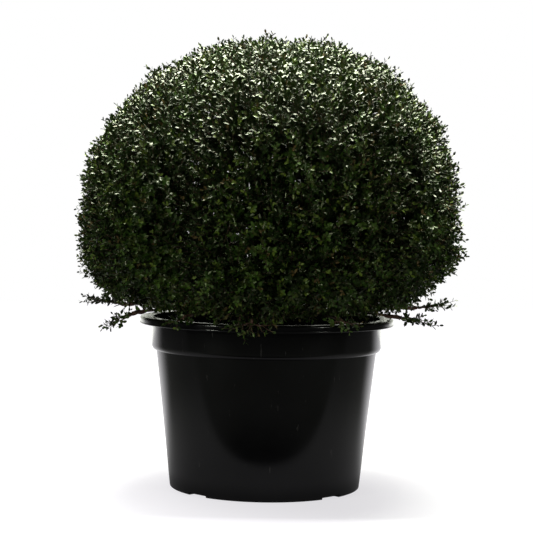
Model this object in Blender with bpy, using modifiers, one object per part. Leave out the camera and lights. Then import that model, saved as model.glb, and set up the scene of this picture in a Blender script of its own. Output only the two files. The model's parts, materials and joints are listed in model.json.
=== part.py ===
"""Potted Japanese holly: a clipped dome of small leaves on a short stem, in a low, wide nursery pot.

Metres, +Z up. The origin is the middle of the pot's flat underside, and -Y is the front.
Azimuths are degrees anticlockwise from +X, seen from above, so the front is at -90.
"""

import math
import random

import bmesh
import bpy
from mathutils import Matrix, Vector
from mathutils.bvhtree import BVHTree

OBJECT_NAME = "potted_japanese_holly"
SEED = 11

# Gaps: between pieces that touch on the real plant, and round each leaf that stands free
FIT_GAP = 0.0003
LEAF_CLEARANCE = 0.0012
RIM_CLEARANCE = 0.005

# Pot: a thin moulded shell with a turned-down lip, a band under it and a tapered body
POT_HEIGHT = 0.347
RIM_RADIUS = 0.260
LIP_DEPTH = 0.0135
LIP_ROUND = 0.004
BAND_RADIUS = 0.235
BAND_BOTTOM = 0.291
SHOULDER_HEIGHT = 0.279
BODY_TOP_RADIUS = 0.2252
BASE_RADIUS = 0.1945
WALL = 0.003
FLOOR = 0.0035
FOOT_THICKNESS = 0.009
FOOT_WIDTH = 0.026
POT_STEPS = 36
SHOULDER_STEPS = 3

# Drainage: notches under the edge of the pot, and holes through its floor
NOTCH_AZIMUTHS = (-133, -47, 47, 133)
NOTCH_WIDTH = 0.048
NOTCH_HEIGHT = 0.0055
NOTCH_DEPTH = 0.016
DRAIN_HOLES = 8
DRAIN_RADIUS = 0.009
DRAIN_CIRCLE = 0.115
DRAIN_SIDES = 8

# Compost, filled to a little under the rim, highest round the stem
COMPOST_TOP = 0.317
COMPOST_EDGE = 0.312
COMPOST_CROWN_RADIUS = 0.06

# Trunk: a short stem with a flared foot, leaning a little to the right
TRUNK_HEIGHT = 0.072
TRUNK_RADIUS = 0.017
TRUNK_TIP_RADIUS = 0.014
FLARE_RADIUS = 0.034
FLARE_HEIGHT = 0.028
TRUNK_LEAN = Vector((0.006, -0.002, 0.0))
TRUNK_POINTS = 7

# Crown: the middle of the dome, and how far its leaf tips reach out, up and down from there
CROWN_MIDDLE = Vector((0.009, 0.0, 0.530))
CROWN_RADIUS = 0.397
CROWN_RISE = 0.402
CROWN_DROP = 0.185
UPPER_POWER = 2.15
LOWER_POWER = 3.0
LOWEST_SITE = math.radians(-37)
CROWN_SITES = 114
CROWN_TWIG_LEAVES = (4, 3)
SITE_JITTER = 0.12

# Core of the crown: the dense inner foliage, hollow underneath where the boughs come up
CORE_DEPTH = 0.056
CORE_UNDER_DEPTH = 0.008
CORE_UNDERSIDE = 0.381
CORE_LUMP = 0.006
CORE_STEPS = 24
CORE_RINGS = 9
HOLLOW_RADIUS = 0.200
CEILING_RADIUS = 0.165
CEILING_HEIGHT = 0.490
STEM_RADIUS = 0.0135
STEM_SINK = 0.02

# Boughs that rise from the trunk to the ceiling of the crown
BOUGHS = {"right": -8, "back_right": 62, "back_left": 133, "left": 201, "front": 278}
BOUGH_ROOT_HEIGHT = 0.364
BOUGH_SPREAD = 0.118
BOUGH_RADIUS = 0.0085
BOUGH_TIP_RADIUS = 0.0062
BOUGH_KNEE_RISE = 0.012
BOUGH_UPRIGHT = 0.012
BOUGH_POINTS = 6

# Low boughs, each with a loose spray past the rim: azimuth, then radius and height of the bough's tip,
# radius and height that the spray's tips reach, and half the spray's width
LOW_SPRAYS = {
    "left_high": (181, 0.272, 0.370, 0.398, 0.384, 0.042),
    "left_low": (204, 0.264, 0.362, 0.366, 0.320, 0.050),
    "front_left": (236, 0.262, 0.362, 0.326, 0.338, 0.045),
    "front": (266, 0.258, 0.361, 0.296, 0.312, 0.052),
    "front_right": (300, 0.262, 0.362, 0.318, 0.336, 0.045),
    "right_low": (332, 0.264, 0.362, 0.382, 0.332, 0.050),
    "right_high": (356, 0.274, 0.371, 0.400, 0.386, 0.050),
    "back_right": (42, 0.266, 0.365, 0.362, 0.345, 0.055),
    "back": (92, 0.264, 0.363, 0.352, 0.338, 0.055),
    "back_left": (140, 0.266, 0.365, 0.364, 0.348, 0.055),
}
LOW_BOUGH_ROOT_HEIGHTS = (0.331, 0.345)
LOW_BOUGH_RADIUS = 0.0044
LOW_BOUGH_TIP_RADIUS = 0.0030
LOW_BOUGH_POINTS = 6
LOW_BOUGH_ARCH = 0.375
SPRAY_SITES = 4
SPRAY_TWIG_LEAVES = (3,)
SPRAY_STEM = 0.016
SPRAY_STEM_RADIUS = 0.0026
SPRAY_START = 0.3
SPRAY_LIFT = 0.006

# Twigs and leaves, larger than life so that few of them fill the crown.
# A leaf's width and thickness are shares of its length.
FORK_SHARE = 0.27
SPRAY_FORK_SHARE = 0.36
TWIG_RADIUS = 0.0024
TWIG_TAPER = 0.6
TWIG_ROOT_DEPTH = 0.016
ROOT_TRIES = 12
TWIG_SIDES = 3
CROWN_LEAF = 0.048
SPRAY_LEAF = 0.033
LEAF_WIDTH = 0.52
LEAF_THICKNESS = 0.08
LEAF_VARIATION = (0.86, 1.08)
LEAF_ANGLE = math.radians(54)
END_LEAF_ANGLE = math.radians(19)
LEAF_TURN = math.radians(144)
LEAF_SPACING = 0.0065
END_LEAF_SINK = 0.0045
TIP_SETBACK = 0.78
REACH_JITTER = 0.008

GOLDEN_ANGLE = math.pi * (3.0 - math.sqrt(5.0))
NEARLY_UPRIGHT = 0.9
MERGE = 0.00001

FINISHES = {
    "pot": ((0.012, 0.012, 0.013), 0.34),
    "compost": ((0.035, 0.024, 0.016), 0.95),
    "bark": ((0.125, 0.085, 0.060), 0.85),
    "leaf": ((0.030, 0.065, 0.014), 0.42),
}


def clear_scene():
    for obj in list(bpy.data.objects):
        bpy.data.objects.remove(obj, do_unlink=True)


def new_collection(name):
    collection = bpy.data.collections.new(name)
    bpy.context.scene.collection.children.link(collection)
    return collection


def finish(node, kind):
    """Give a node its own material, in the colour and roughness of its kind."""
    colour, roughness = FINISHES[kind]
    material = bpy.data.materials.new(node.name)
    material.use_nodes = True
    shader = material.node_tree.nodes["Principled BSDF"]
    shader.inputs["Base Color"].default_value = (*colour, 1.0)
    shader.inputs["Roughness"].default_value = roughness
    shader.inputs["Metallic"].default_value = 0.0
    node.data.materials.clear()
    node.data.materials.append(material)


def outward(azimuth_degrees):
    azimuth = math.radians(azimuth_degrees)
    return Vector((math.cos(azimuth), math.sin(azimuth), 0.0))


def evaluated_mesh(obj):
    graph = bpy.context.evaluated_depsgraph_get()
    return bpy.data.meshes.new_from_object(obj.evaluated_get(graph))


# Turned shapes: the pot and the compost


def turned(name, profile, steps, collection):
    """A profile of (radius, height) points turned round the Z axis by a Screw modifier."""
    mesh = bpy.data.meshes.new(name)
    points = [(radius, 0.0, height) for radius, height in profile]
    edges = [(i, i + 1) for i in range(len(points) - 1)]
    mesh.from_pydata(points, edges, [])
    obj = bpy.data.objects.new(name, mesh)
    collection.objects.link(obj)
    screw = obj.modifiers.new("turn", "SCREW")
    screw.steps = steps
    screw.render_steps = steps
    screw.use_merge_vertices = True
    screw.merge_threshold = MERGE
    screw.use_smooth_shade = True
    return obj


def body_radius(height):
    """Outer radius of the pot's tapered body."""
    return BASE_RADIUS + (BODY_TOP_RADIUS - BASE_RADIUS) * height / SHOULDER_HEIGHT


def shoulder(inset):
    """The rounded underside of the band, top to bottom, set in from the outer face."""
    points = []
    for step in range(SHOULDER_STEPS + 1):
        angle = 0.5 * math.pi * step / SHOULDER_STEPS
        radius = BODY_TOP_RADIUS + (BAND_RADIUS - BODY_TOP_RADIUS) * math.cos(angle)
        height = BAND_BOTTOM - (BAND_BOTTOM - SHOULDER_HEIGHT) * math.sin(angle)
        points.append((radius - inset, height))
    return points


def pot_profile():
    inner_floor = BASE_RADIUS - FOOT_WIDTH
    inside = [
        (0.0, FLOOR),
        (inner_floor - FLOOR, FLOOR),
        (inner_floor, FOOT_THICKNESS),
        (body_radius(FOOT_THICKNESS) - WALL, FOOT_THICKNESS),
    ]
    inside += shoulder(WALL)[::-1]
    inside.append((BAND_RADIUS - WALL, POT_HEIGHT))
    lip_bottom = POT_HEIGHT - LIP_DEPTH
    outside = [
        (RIM_RADIUS - 0.001, POT_HEIGHT),
        (RIM_RADIUS, POT_HEIGHT - 0.001),
        (RIM_RADIUS, lip_bottom + LIP_ROUND),
        (RIM_RADIUS - 0.5 * WALL, lip_bottom),
        (RIM_RADIUS - WALL, lip_bottom),
        (RIM_RADIUS - WALL, POT_HEIGHT - WALL),
        (BAND_RADIUS, POT_HEIGHT - WALL),
    ]
    outside += shoulder(0.0)
    outside += [(BASE_RADIUS, 0.0), (0.0, 0.0)]
    return inside + outside


def box(name, size, place, azimuth, collection):
    mesh = bpy.data.meshes.new(name)
    shape = bmesh.new()
    bmesh.ops.create_cube(shape, size=1.0)
    bmesh.ops.scale(shape, vec=size, verts=shape.verts)
    shape.to_mesh(mesh)
    shape.free()
    obj = bpy.data.objects.new(name, mesh)
    obj.location = place
    obj.rotation_euler.z = math.radians(azimuth)
    collection.objects.link(obj)
    return obj


def drain_cutters(collection):
    """Boxes for the notches under the pot's edge, and upright prisms for the holes in its floor."""
    for number, azimuth in enumerate(NOTCH_AZIMUTHS, 1):
        reach = 2.0 * NOTCH_DEPTH
        size = (reach, NOTCH_WIDTH, 2.0 * NOTCH_HEIGHT)
        place = outward(azimuth) * (BASE_RADIUS - NOTCH_DEPTH + 0.5 * reach)
        box(f"notch_cutter_{number}", size, place, azimuth, collection)
    for number in range(DRAIN_HOLES):
        mesh = bpy.data.meshes.new(f"drain_cutter_{number + 1}")
        shape = bmesh.new()
        bmesh.ops.create_cone(
            shape,
            cap_ends=True,
            segments=DRAIN_SIDES,
            radius1=DRAIN_RADIUS,
            radius2=DRAIN_RADIUS,
            depth=4.0 * FLOOR,
        )
        shape.to_mesh(mesh)
        shape.free()
        obj = bpy.data.objects.new(mesh.name, mesh)
        obj.location = outward(360.0 * (number + 0.5) / DRAIN_HOLES) * DRAIN_CIRCLE
        collection.objects.link(obj)
    for cutter in collection.objects:
        cutter.hide_render = True
        cutter.display_type = "WIRE"


def make_pot(parts, cutters):
    pot = turned("pot", pot_profile(), POT_STEPS, parts)
    drain_cutters(cutters)
    cut = pot.modifiers.new("drainage", "BOOLEAN")
    cut.operand_type = "COLLECTION"
    cut.collection = cutters
    cut.solver = "EXACT"
    finish(pot, "pot")
    return pot


def make_compost(parts):
    """The compost follows the inside of the pot, a fit gap clear of it."""
    bottom = FLOOR + FIT_GAP
    foot = FOOT_THICKNESS + FIT_GAP
    inner_floor = BASE_RADIUS - FOOT_WIDTH - FIT_GAP
    inset = WALL + FIT_GAP
    profile = [(0.0, COMPOST_TOP), (COMPOST_CROWN_RADIUS, COMPOST_TOP)]
    profile.append((BAND_RADIUS - inset, COMPOST_EDGE))
    profile += shoulder(inset)
    profile += [
        (body_radius(FOOT_THICKNESS) - inset, foot),
        (inner_floor, foot),
        (inner_floor - FLOOR, bottom),
        (0.0, bottom),
    ]
    compost = turned("compost", profile, POT_STEPS, parts)
    finish(compost, "compost")
    return compost


# Limbs: the trunk and the boughs


def limb(name, points, radii, resolution, collection):
    """A tapering limb: a curve through the points with a bevel, made a mesh with its caps welded."""
    curve = bpy.data.curves.new(name, "CURVE")
    curve.dimensions = "3D"
    curve.bevel_depth = 1.0
    curve.bevel_resolution = resolution
    curve.use_fill_caps = True
    spline = curve.splines.new("POLY")
    spline.points.add(len(points) - 1)
    for point, place, radius in zip(spline.points, points, radii):
        point.co = (*place, 1.0)
        point.radius = radius
    guide = bpy.data.objects.new(name + "_guide", curve)
    collection.objects.link(guide)
    mesh = evaluated_mesh(guide)
    bpy.data.objects.remove(guide, do_unlink=True)
    shape = bmesh.new()
    shape.from_mesh(mesh)
    bmesh.ops.remove_doubles(shape, verts=shape.verts, dist=MERGE)
    bmesh.ops.recalc_face_normals(shape, faces=shape.faces)
    shape.to_mesh(mesh)
    shape.free()
    mesh.name = name
    mesh.shade_smooth()
    obj = bpy.data.objects.new(name, mesh)
    collection.objects.link(obj)
    return obj


def trunk_axis(height):
    """The middle of the trunk at a height: upright at the foot and at the tip, leaning between."""
    step = (height - COMPOST_TOP - FIT_GAP) / TRUNK_HEIGHT * (TRUNK_POINTS - 1)
    share = min(1.0, max(0.0, (step - 1.0) / (TRUNK_POINTS - 3)))
    return Vector((0.0, 0.0, height)) + TRUNK_LEAN * (share * share * (3.0 - 2.0 * share))


def trunk_path():
    foot = COMPOST_TOP + FIT_GAP
    rise = TRUNK_HEIGHT / (TRUNK_POINTS - 1)
    return [trunk_axis(foot + rise * step) for step in range(TRUNK_POINTS)]


def trunk_radius(rise):
    """Radius at a height above the compost: the taper, and the flare that dies away up the foot."""
    taper = TRUNK_RADIUS + (TRUNK_TIP_RADIUS - TRUNK_RADIUS) * rise / TRUNK_HEIGHT
    return taper + (FLARE_RADIUS - TRUNK_RADIUS) * math.exp(-3.0 * rise / FLARE_HEIGHT)


def make_trunk(parts, cutters):
    """The trunk, and a copy one fit gap larger that cuts the feet of the boughs."""
    points = trunk_path()
    foot = points[0].z
    radii = [trunk_radius(point.z - foot) for point in points]
    trunk = limb("trunk", points, radii, 4, parts)
    finish(trunk, "bark")
    sleeve = limb("trunk_sleeve", points, [radius + FIT_GAP for radius in radii], 4, cutters)
    sleeve.hide_render = True
    sleeve.display_type = "WIRE"
    return trunk, sleeve


def arc(start, knee, tip, count):
    """Points along the parabola that leaves the start towards the knee and reaches the tip from it."""
    points = []
    for step in range(count):
        share = step / (count - 1)
        points.append(start.lerp(knee, share).lerp(knee.lerp(tip, share), share))
    return points


def make_bough(name, points, root_radius, tip_radius, resolution, sleeve, parts):
    """One bough: a limb whose foot is cut to sit against the trunk."""
    last = len(points) - 1
    radii = [root_radius + (tip_radius - root_radius) * i / last for i in range(last + 1)]
    bough = limb(name, points, radii, resolution, parts)
    cut = bough.modifiers.new("foot", "BOOLEAN")
    cut.object = sleeve
    cut.solver = "EXACT"
    mesh = evaluated_mesh(bough)
    bough.modifiers.clear()
    bough.data = mesh
    keep_one_body(mesh)
    finish(bough, "bark")
    return bough


def make_boughs(sleeve, parts):
    """Boughs that curve out of the trunk and rise upright to the ceiling of the crown."""
    boughs = []
    for place, azimuth in BOUGHS.items():
        start = trunk_axis(BOUGH_ROOT_HEIGHT)
        tip = CROWN_MIDDLE + outward(azimuth) * BOUGH_SPREAD
        tip.z = CEILING_HEIGHT - FIT_GAP
        knee = Vector((tip.x, tip.y, BOUGH_ROOT_HEIGHT + BOUGH_KNEE_RISE))
        points = arc(start, knee, tip, BOUGH_POINTS)
        points[-2] = tip - Vector((0.0, 0.0, BOUGH_UPRIGHT))
        name = "bough_" + place
        boughs.append(make_bough(name, points, BOUGH_RADIUS, BOUGH_TIP_RADIUS, 2, sleeve, parts))
    return boughs


def polar(azimuth, radius, height):
    point = outward(azimuth) * radius
    point.z = height
    return point


def low_bough_end(azimuth, radius, height):
    """The knee that a low bough arches under, and its tip."""
    return polar(azimuth, 0.5 * radius, LOW_BOUGH_ARCH), polar(azimuth, radius, height)


def make_low_boughs(sleeve, parts):
    """Thin boughs from two levels of the trunk that arch over the rim, each to its spray."""
    boughs = []
    for number, (place, (azimuth, radius, height, _, _, _)) in enumerate(LOW_SPRAYS.items()):
        start = trunk_axis(LOW_BOUGH_ROOT_HEIGHTS[number % 2])
        knee, tip = low_bough_end(azimuth, radius, height)
        points = arc(start, knee, tip, LOW_BOUGH_POINTS)
        radii = (LOW_BOUGH_RADIUS, LOW_BOUGH_TIP_RADIUS)
        boughs.append(make_bough("low_bough_" + place, points, *radii, 1, sleeve, parts))
    return boughs


# Growth: one rule for the crown and for each loose spray


def split(sites):
    """Two halves of a patch of sites, parted across its longest side."""
    spans = [max(s[i] for s in sites) - min(s[i] for s in sites) for i in range(3)]
    longest = spans.index(max(spans))
    ordered = sorted(sites, key=lambda site: site[longest])
    half = len(ordered) // 2
    return ordered[:half], ordered[half:]


def grow(start, sites, share):
    """Limbs that serve a patch of sites, as (start, end, sites served).

    A limb runs a share of the way to the middle of its patch and forks there. Each branch takes
    half of the patch, until a site has a twig of its own.
    """
    if len(sites) == 1:
        return [(start, sites[0], 1)]
    middle = sum(sites, Vector()) / len(sites)
    fork = start.lerp(middle, share)
    limbs = [(start, fork, len(sites))]
    for half in split(sites):
        limbs += grow(fork, half, share)
    return limbs


def across_from(direction):
    """A fixed direction that is never in line with this one."""
    if abs(direction.normalized().z) < NEARLY_UPRIGHT:
        return Vector((0.0, 0.0, 1.0))
    return Vector((1.0, 0.0, 0.0))


def placed(shape, along, across, place):
    """A mesh from a bmesh whose X lies along one direction and whose Y lies near another."""
    along = along.normalized()
    normal = along.cross(across).normalized()
    side = normal.cross(along)
    turn = Matrix((along, side, normal)).transposed().to_4x4()
    bmesh.ops.transform(shape, matrix=Matrix.Translation(place) @ turn, verts=shape.verts)
    mesh = bpy.data.meshes.new("piece")
    shape.to_mesh(mesh)
    shape.free()
    return mesh


def twig_mesh(start, end, start_radius, end_radius):
    """A tapered three-sided stick."""
    length = (end - start).length
    shape = bmesh.new()
    bmesh.ops.create_cone(
        shape,
        cap_ends=True,
        segments=TWIG_SIDES,
        radius1=start_radius,
        radius2=end_radius,
        depth=length,
        matrix=Matrix.Translation((0.5 * length, 0.0, 0.0)) @ Matrix.Rotation(0.5 * math.pi, 4, "Y"),
    )
    return placed(shape, end - start, across_from(end - start), start)


def leaf_mesh(root, along, across, length):
    """A leaf: a sphere of eight faces, drawn out long and thin, with its root at one end."""
    shape = bmesh.new()
    bmesh.ops.create_uvsphere(shape, u_segments=4, v_segments=2, radius=0.5)
    size = Vector((length, length * LEAF_WIDTH, length * LEAF_THICKNESS))
    bmesh.ops.scale(shape, vec=size, verts=shape.verts)
    bmesh.ops.translate(shape, vec=(0.5 * length, 0.0, 0.0), verts=shape.verts)
    return placed(shape, along, across, root)


def tree_of(mesh, swell=0.0):
    """A search tree of a mesh, whose points may first be moved out from its middle."""
    points = [vertex.co.copy() for vertex in mesh.vertices]
    middle = sum(points, Vector()) / len(points)
    for point in points:
        point += (point - middle).normalized() * swell
    faces = [tuple(face.vertices) for face in mesh.polygons]
    return BVHTree.FromPolygons(points, faces, epsilon=0.0)


def leaf_directions(twig_direction, count, dice):
    """The way each leaf of a twig points: one at the tip, the others by turns round the twig."""
    first = dice.uniform(0.0, 2.0 * math.pi)
    side = twig_direction.cross(across_from(twig_direction)).normalized()
    ways = []
    for number in range(count):
        turn = Matrix.Rotation(first + number * LEAF_TURN, 3, twig_direction)
        lean = LEAF_ANGLE if number else END_LEAF_ANGLE
        ways.append(twig_direction * math.cos(lean) + (turn @ side) * math.sin(lean))
    return ways


def twig_root(start, end, buried_depth):
    """The last of some points along a twig that is still well inside the core."""
    root = start
    for step in range(1, ROOT_TRIES):
        point = start.lerp(end, step / ROOT_TRIES)
        if buried_depth(point) > TWIG_ROOT_DEPTH:
            root = point
    return root


def dress(limbs, leaf_counts, leaf_length, setback, buried_depth, allowed, obstacles, dice):
    """Meshes of the twigs and leaves of a mass, without those that would touch or stray.

    A twig ends a setback short of its site, and starts a little way inside the core, where there
    is one. The first leaf ends the twig, and the others stand along it by turns. Twigs take the
    leaf counts in turn.
    """
    meshes = []
    standing = []
    for start, end, served in limbs:
        radius = TWIG_RADIUS * math.sqrt(served)
        way = (end - start).normalized()
        if served > 1:
            if buried_depth(end) < 0.0:
                meshes.append(twig_mesh(start - way * radius, end + way * radius, radius, radius))
            continue
        end = end - way * (setback + dice.uniform(0.0, REACH_JITTER))
        if (end - start).dot(way) < LEAF_SPACING:
            continue
        root = twig_root(start - way * TWIG_RADIUS, end, buried_depth)
        twig = twig_mesh(root, end, TWIG_RADIUS, TWIG_TAPER * TWIG_RADIUS)
        swollen = tree_of(twig, LEAF_CLEARANCE)
        if any(swollen.overlap(tree) for tree in obstacles) or not allowed(end):
            bpy.data.meshes.remove(twig)
            continue
        meshes.append(twig)
        own = []
        leaves = leaf_counts[len(meshes) % len(leaf_counts)]
        for number, leaf_way in enumerate(leaf_directions(way, leaves, dice)):
            place = end - way * (LEAF_SPACING * number if number else END_LEAF_SINK)
            length = leaf_length * dice.uniform(*LEAF_VARIATION)
            face = way - leaf_way * way.dot(leaf_way)
            across = face.cross(leaf_way)
            leaf = leaf_mesh(place, leaf_way, across, length)
            tip = place + leaf_way * length
            near = tree_of(leaf, LEAF_CLEARANCE)
            blocked = any(near.overlap(tree) for tree in obstacles + standing + own)
            if blocked or not allowed(tip) or buried_depth(tip) > 0.0:
                bpy.data.meshes.remove(leaf)
                continue
            meshes.append(leaf)
            own.append(tree_of(leaf))
        standing += own
        standing.append(tree_of(twig))
    return meshes


def keep_one_body(mesh):
    """Keep the largest shell of a mesh: this fills a sealed hollow and drops a loose scrap."""
    shape = bmesh.new()
    shape.from_mesh(mesh)
    bmesh.ops.triangulate(shape, faces=shape.faces)
    left = set(shape.verts)
    largest = set()
    while left:
        shell = set()
        reached = [left.pop()]
        while reached:
            vertex = reached.pop()
            shell.add(vertex)
            for edge in vertex.link_edges:
                other = edge.other_vert(vertex)
                if other in left:
                    left.remove(other)
                    reached.append(other)
        if len(shell) > len(largest):
            largest = shell
    scraps = [vertex for vertex in shape.verts if vertex not in largest]
    bmesh.ops.delete(shape, geom=scraps, context="VERTS")
    shape.to_mesh(mesh)
    shape.free()


def fuse(body, pieces, solver):
    """Join the pieces to a body by one Boolean union on their collection."""
    shelf = new_collection(body.name + "_pieces")
    for mesh in pieces:
        shelf.objects.link(bpy.data.objects.new(body.name + "_piece", mesh))
    union = body.modifiers.new("union", "BOOLEAN")
    union.operation = "UNION"
    union.operand_type = "COLLECTION"
    union.collection = shelf
    union.solver = solver
    mesh = evaluated_mesh(body)
    body.modifiers.clear()
    body.data = mesh
    for piece in list(shelf.objects):
        bpy.data.objects.remove(piece, do_unlink=True)
    bpy.data.collections.remove(shelf)
    keep_one_body(mesh)
    finish(body, "leaf")


# The crown: a core, the twigs that come out of it, and their leaves


def dome_reach(elevation, depth=0.0, under_depth=0.0):
    """Distance from the middle of the dome to a surface this deep in it, at an angle above the level."""
    if elevation > 0.0:
        height, power = CROWN_RISE - depth, UPPER_POWER
    else:
        height, power = CROWN_DROP - under_depth, LOWER_POWER
    across = math.cos(elevation) / (CROWN_RADIUS - depth)
    up = abs(math.sin(elevation)) / height
    return (across**power + up**power) ** (-1.0 / power)


def core_reach(elevation):
    return dome_reach(elevation, CORE_DEPTH, CORE_UNDER_DEPTH)


def elevation_of(offset):
    return math.atan2(offset.z, math.hypot(offset.x, offset.y))


def depth_in_dome(point):
    """How far a point lies inside the dome of leaf tips, along its line from the middle."""
    offset = point - CROWN_MIDDLE
    return dome_reach(elevation_of(offset)) - offset.length


def depth_in_core(point):
    """How far a point lies inside the core, or below zero where it is outside."""
    offset = point - CROWN_MIDDLE
    depth = core_reach(elevation_of(offset)) - offset.length
    over_underside = point.z - CORE_UNDERSIDE
    past_hollow = max(math.hypot(offset.x, offset.y) - HOLLOW_RADIUS, point.z - CEILING_HEIGHT)
    return min(depth, over_underside, past_hollow)


def core_bottom():
    """The angle below the level at which the core's side meets its flat underside."""
    drop = (CROWN_MIDDLE.z - CORE_UNDERSIDE) / (CROWN_DROP - CORE_UNDER_DEPTH)
    radius = (CROWN_RADIUS - CORE_DEPTH) * (1.0 - drop**LOWER_POWER) ** (1.0 / LOWER_POWER)
    return -math.atan2(CROWN_MIDDLE.z - CORE_UNDERSIDE, radius)


def core_profile():
    lowest = core_bottom()
    points = []
    for ring in range(CORE_RINGS + 1):
        elevation = 0.5 * math.pi + (lowest - 0.5 * math.pi) * ring / CORE_RINGS
        reach = core_reach(elevation)
        radius = reach * math.cos(elevation) if ring else 0.0
        points.append((radius, CROWN_MIDDLE.z + reach * math.sin(elevation)))
    points.append((HOLLOW_RADIUS, CORE_UNDERSIDE))
    points.append((CEILING_RADIUS, CEILING_HEIGHT))
    points.append((0.0, CEILING_HEIGHT))
    return points


def crown_sites(dice):
    """Sites spread evenly over the dome, along a spiral from its top to its underside."""
    sites = []
    span = 1.0 - math.sin(LOWEST_SITE)
    for number in range(CROWN_SITES):
        elevation = math.asin(1.0 - span * (number + 0.5) / CROWN_SITES)
        azimuth = number * GOLDEN_ANGLE + dice.uniform(-SITE_JITTER, SITE_JITTER)
        reach = dome_reach(elevation)
        level = Vector((math.cos(azimuth), math.sin(azimuth), 0.0)) * (reach * math.cos(elevation))
        sites.append(CROWN_MIDDLE + level + Vector((0.0, 0.0, reach * math.sin(elevation))))
    return sites


def in_crown_space(point):
    return depth_in_dome(point) > -REACH_JITTER and point.z > POT_HEIGHT + RIM_CLEARANCE


def make_core(dice, parts):
    """The core of the crown, turned and then roughened into lumps of foliage."""
    crown = turned("crown", core_profile(), CORE_STEPS, parts)
    crown.location = (CROWN_MIDDLE.x, CROWN_MIDDLE.y, 0.0)
    bpy.context.view_layer.update()
    core = evaluated_mesh(crown)
    crown.modifiers.clear()
    core.transform(crown.matrix_world)
    crown.location = (0.0, 0.0, 0.0)
    crown.data = core
    for vertex in core.vertices:
        lump = dice.uniform(-CORE_LUMP, CORE_LUMP)
        if vertex.co.z > CORE_UNDERSIDE + CORE_LUMP and depth_in_dome(vertex.co) < 2.0 * CORE_DEPTH:
            vertex.co += (vertex.co - CROWN_MIDDLE).normalized() * lump
    return crown


def make_crown(crown, obstacles, dice, parts):
    """The whole crown: the core, a stem down to the trunk, and the twigs and leaves all over it."""
    foot = trunk_path()[-1] + Vector((0.0, 0.0, FIT_GAP))
    top = Vector((foot.x, foot.y, CEILING_HEIGHT + STEM_SINK))
    stem = limb("stem", [foot, top], [TRUNK_TIP_RADIUS, STEM_RADIUS], 2, parts)
    pieces = [stem.data.copy()]
    bpy.data.objects.remove(stem, do_unlink=True)
    limbs = grow(top, crown_sites(dice), FORK_SHARE)
    setback = TIP_SETBACK * CROWN_LEAF
    pieces += dress(
        limbs,
        CROWN_TWIG_LEAVES,
        CROWN_LEAF,
        setback,
        depth_in_core,
        in_crown_space,
        obstacles,
        dice,
    )
    fuse(crown, pieces, "MANIFOLD")


# The loose sprays past the rim


def spray_sites(azimuth, radius, height, reach_radius, reach_height, half_width, dice):
    """Sites on a flat oval from just past the bough's tip to where the spray's tips reach."""
    near = polar(azimuth, radius + SPRAY_START * (reach_radius - radius), height)
    far = polar(azimuth, reach_radius, reach_height)
    far -= (far - near).normalized() * (TIP_SETBACK * SPRAY_LEAF)
    middle = near.lerp(far, 0.5)
    side = outward(azimuth + 90)
    sites = []
    for number in range(SPRAY_SITES):
        spread = math.sqrt((number + 0.5) / SPRAY_SITES)
        turn = number * GOLDEN_ANGLE + math.pi
        along = (far - near) * (0.5 * spread * math.cos(turn))
        across = side * (half_width * spread * math.sin(turn))
        lift = Vector((0.0, 0.0, dice.uniform(-SPRAY_LIFT, SPRAY_LIFT)))
        sites.append(middle + along + across + lift)
    return sites


def make_spray(place, sizes, obstacles, parts, number):
    """One open spray: a stem from its bough's tip, forking to its sites, with leaves and no core."""
    dice = random.Random(SEED + number)
    azimuth, radius, height, reach_radius, reach_height, half_width = sizes
    knee, tip = low_bough_end(azimuth, radius, height)
    way = (tip - knee).normalized()
    foot = tip + way * FIT_GAP
    fork = foot + way * SPRAY_STEM
    radii = [LOW_BOUGH_TIP_RADIUS, SPRAY_STEM_RADIUS]
    spray = limb("spray_" + place, [foot, fork], radii, 0, parts)
    sites = spray_sites(azimuth, radius, height, reach_radius, reach_height, half_width, dice)
    limbs = grow(fork - way * SPRAY_STEM_RADIUS, sites, SPRAY_FORK_SHARE)

    def no_core(_):
        return -1.0

    def clear_of_rim(point):
        past_rim = math.hypot(point.x, point.y) > RIM_RADIUS + RIM_CLEARANCE
        return past_rim or point.z > POT_HEIGHT + RIM_CLEARANCE

    pieces = dress(
        limbs, SPRAY_TWIG_LEAVES, SPRAY_LEAF, 0.0, no_core, clear_of_rim, obstacles, dice
    )
    fuse(spray, pieces, "EXACT")
    return spray


def world_tree(obj):
    mesh = evaluated_mesh(obj)
    mesh.transform(obj.matrix_world)
    tree = tree_of(mesh)
    bpy.data.meshes.remove(mesh)
    return tree


def build():
    clear_scene()
    parts = new_collection(OBJECT_NAME)
    cutters = new_collection("drain_cutters")
    sleeves = new_collection("bough_cutters")
    pot = make_pot(parts, cutters)
    compost = make_compost(parts)
    trunk, sleeve = make_trunk(parts, sleeves)
    boughs = make_boughs(sleeve, parts)
    low_boughs = make_low_boughs(sleeve, parts)
    bpy.context.view_layer.update()
    standing = [pot, compost, trunk] + boughs + low_boughs
    obstacles = [world_tree(obj) for obj in standing]
    dice = random.Random(SEED)
    crown = make_core(dice, parts)
    core = world_tree(crown)
    for number, (place, sizes) in enumerate(LOW_SPRAYS.items(), 1):
        spray = make_spray(place, sizes, obstacles + [core], parts, number)
        obstacles.append(world_tree(spray))
    make_crown(crown, obstacles, dice, parts)


build()
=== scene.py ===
import json
import math
import random

import bmesh
import bpy
import numpy as np
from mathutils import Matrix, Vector, noise

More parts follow.
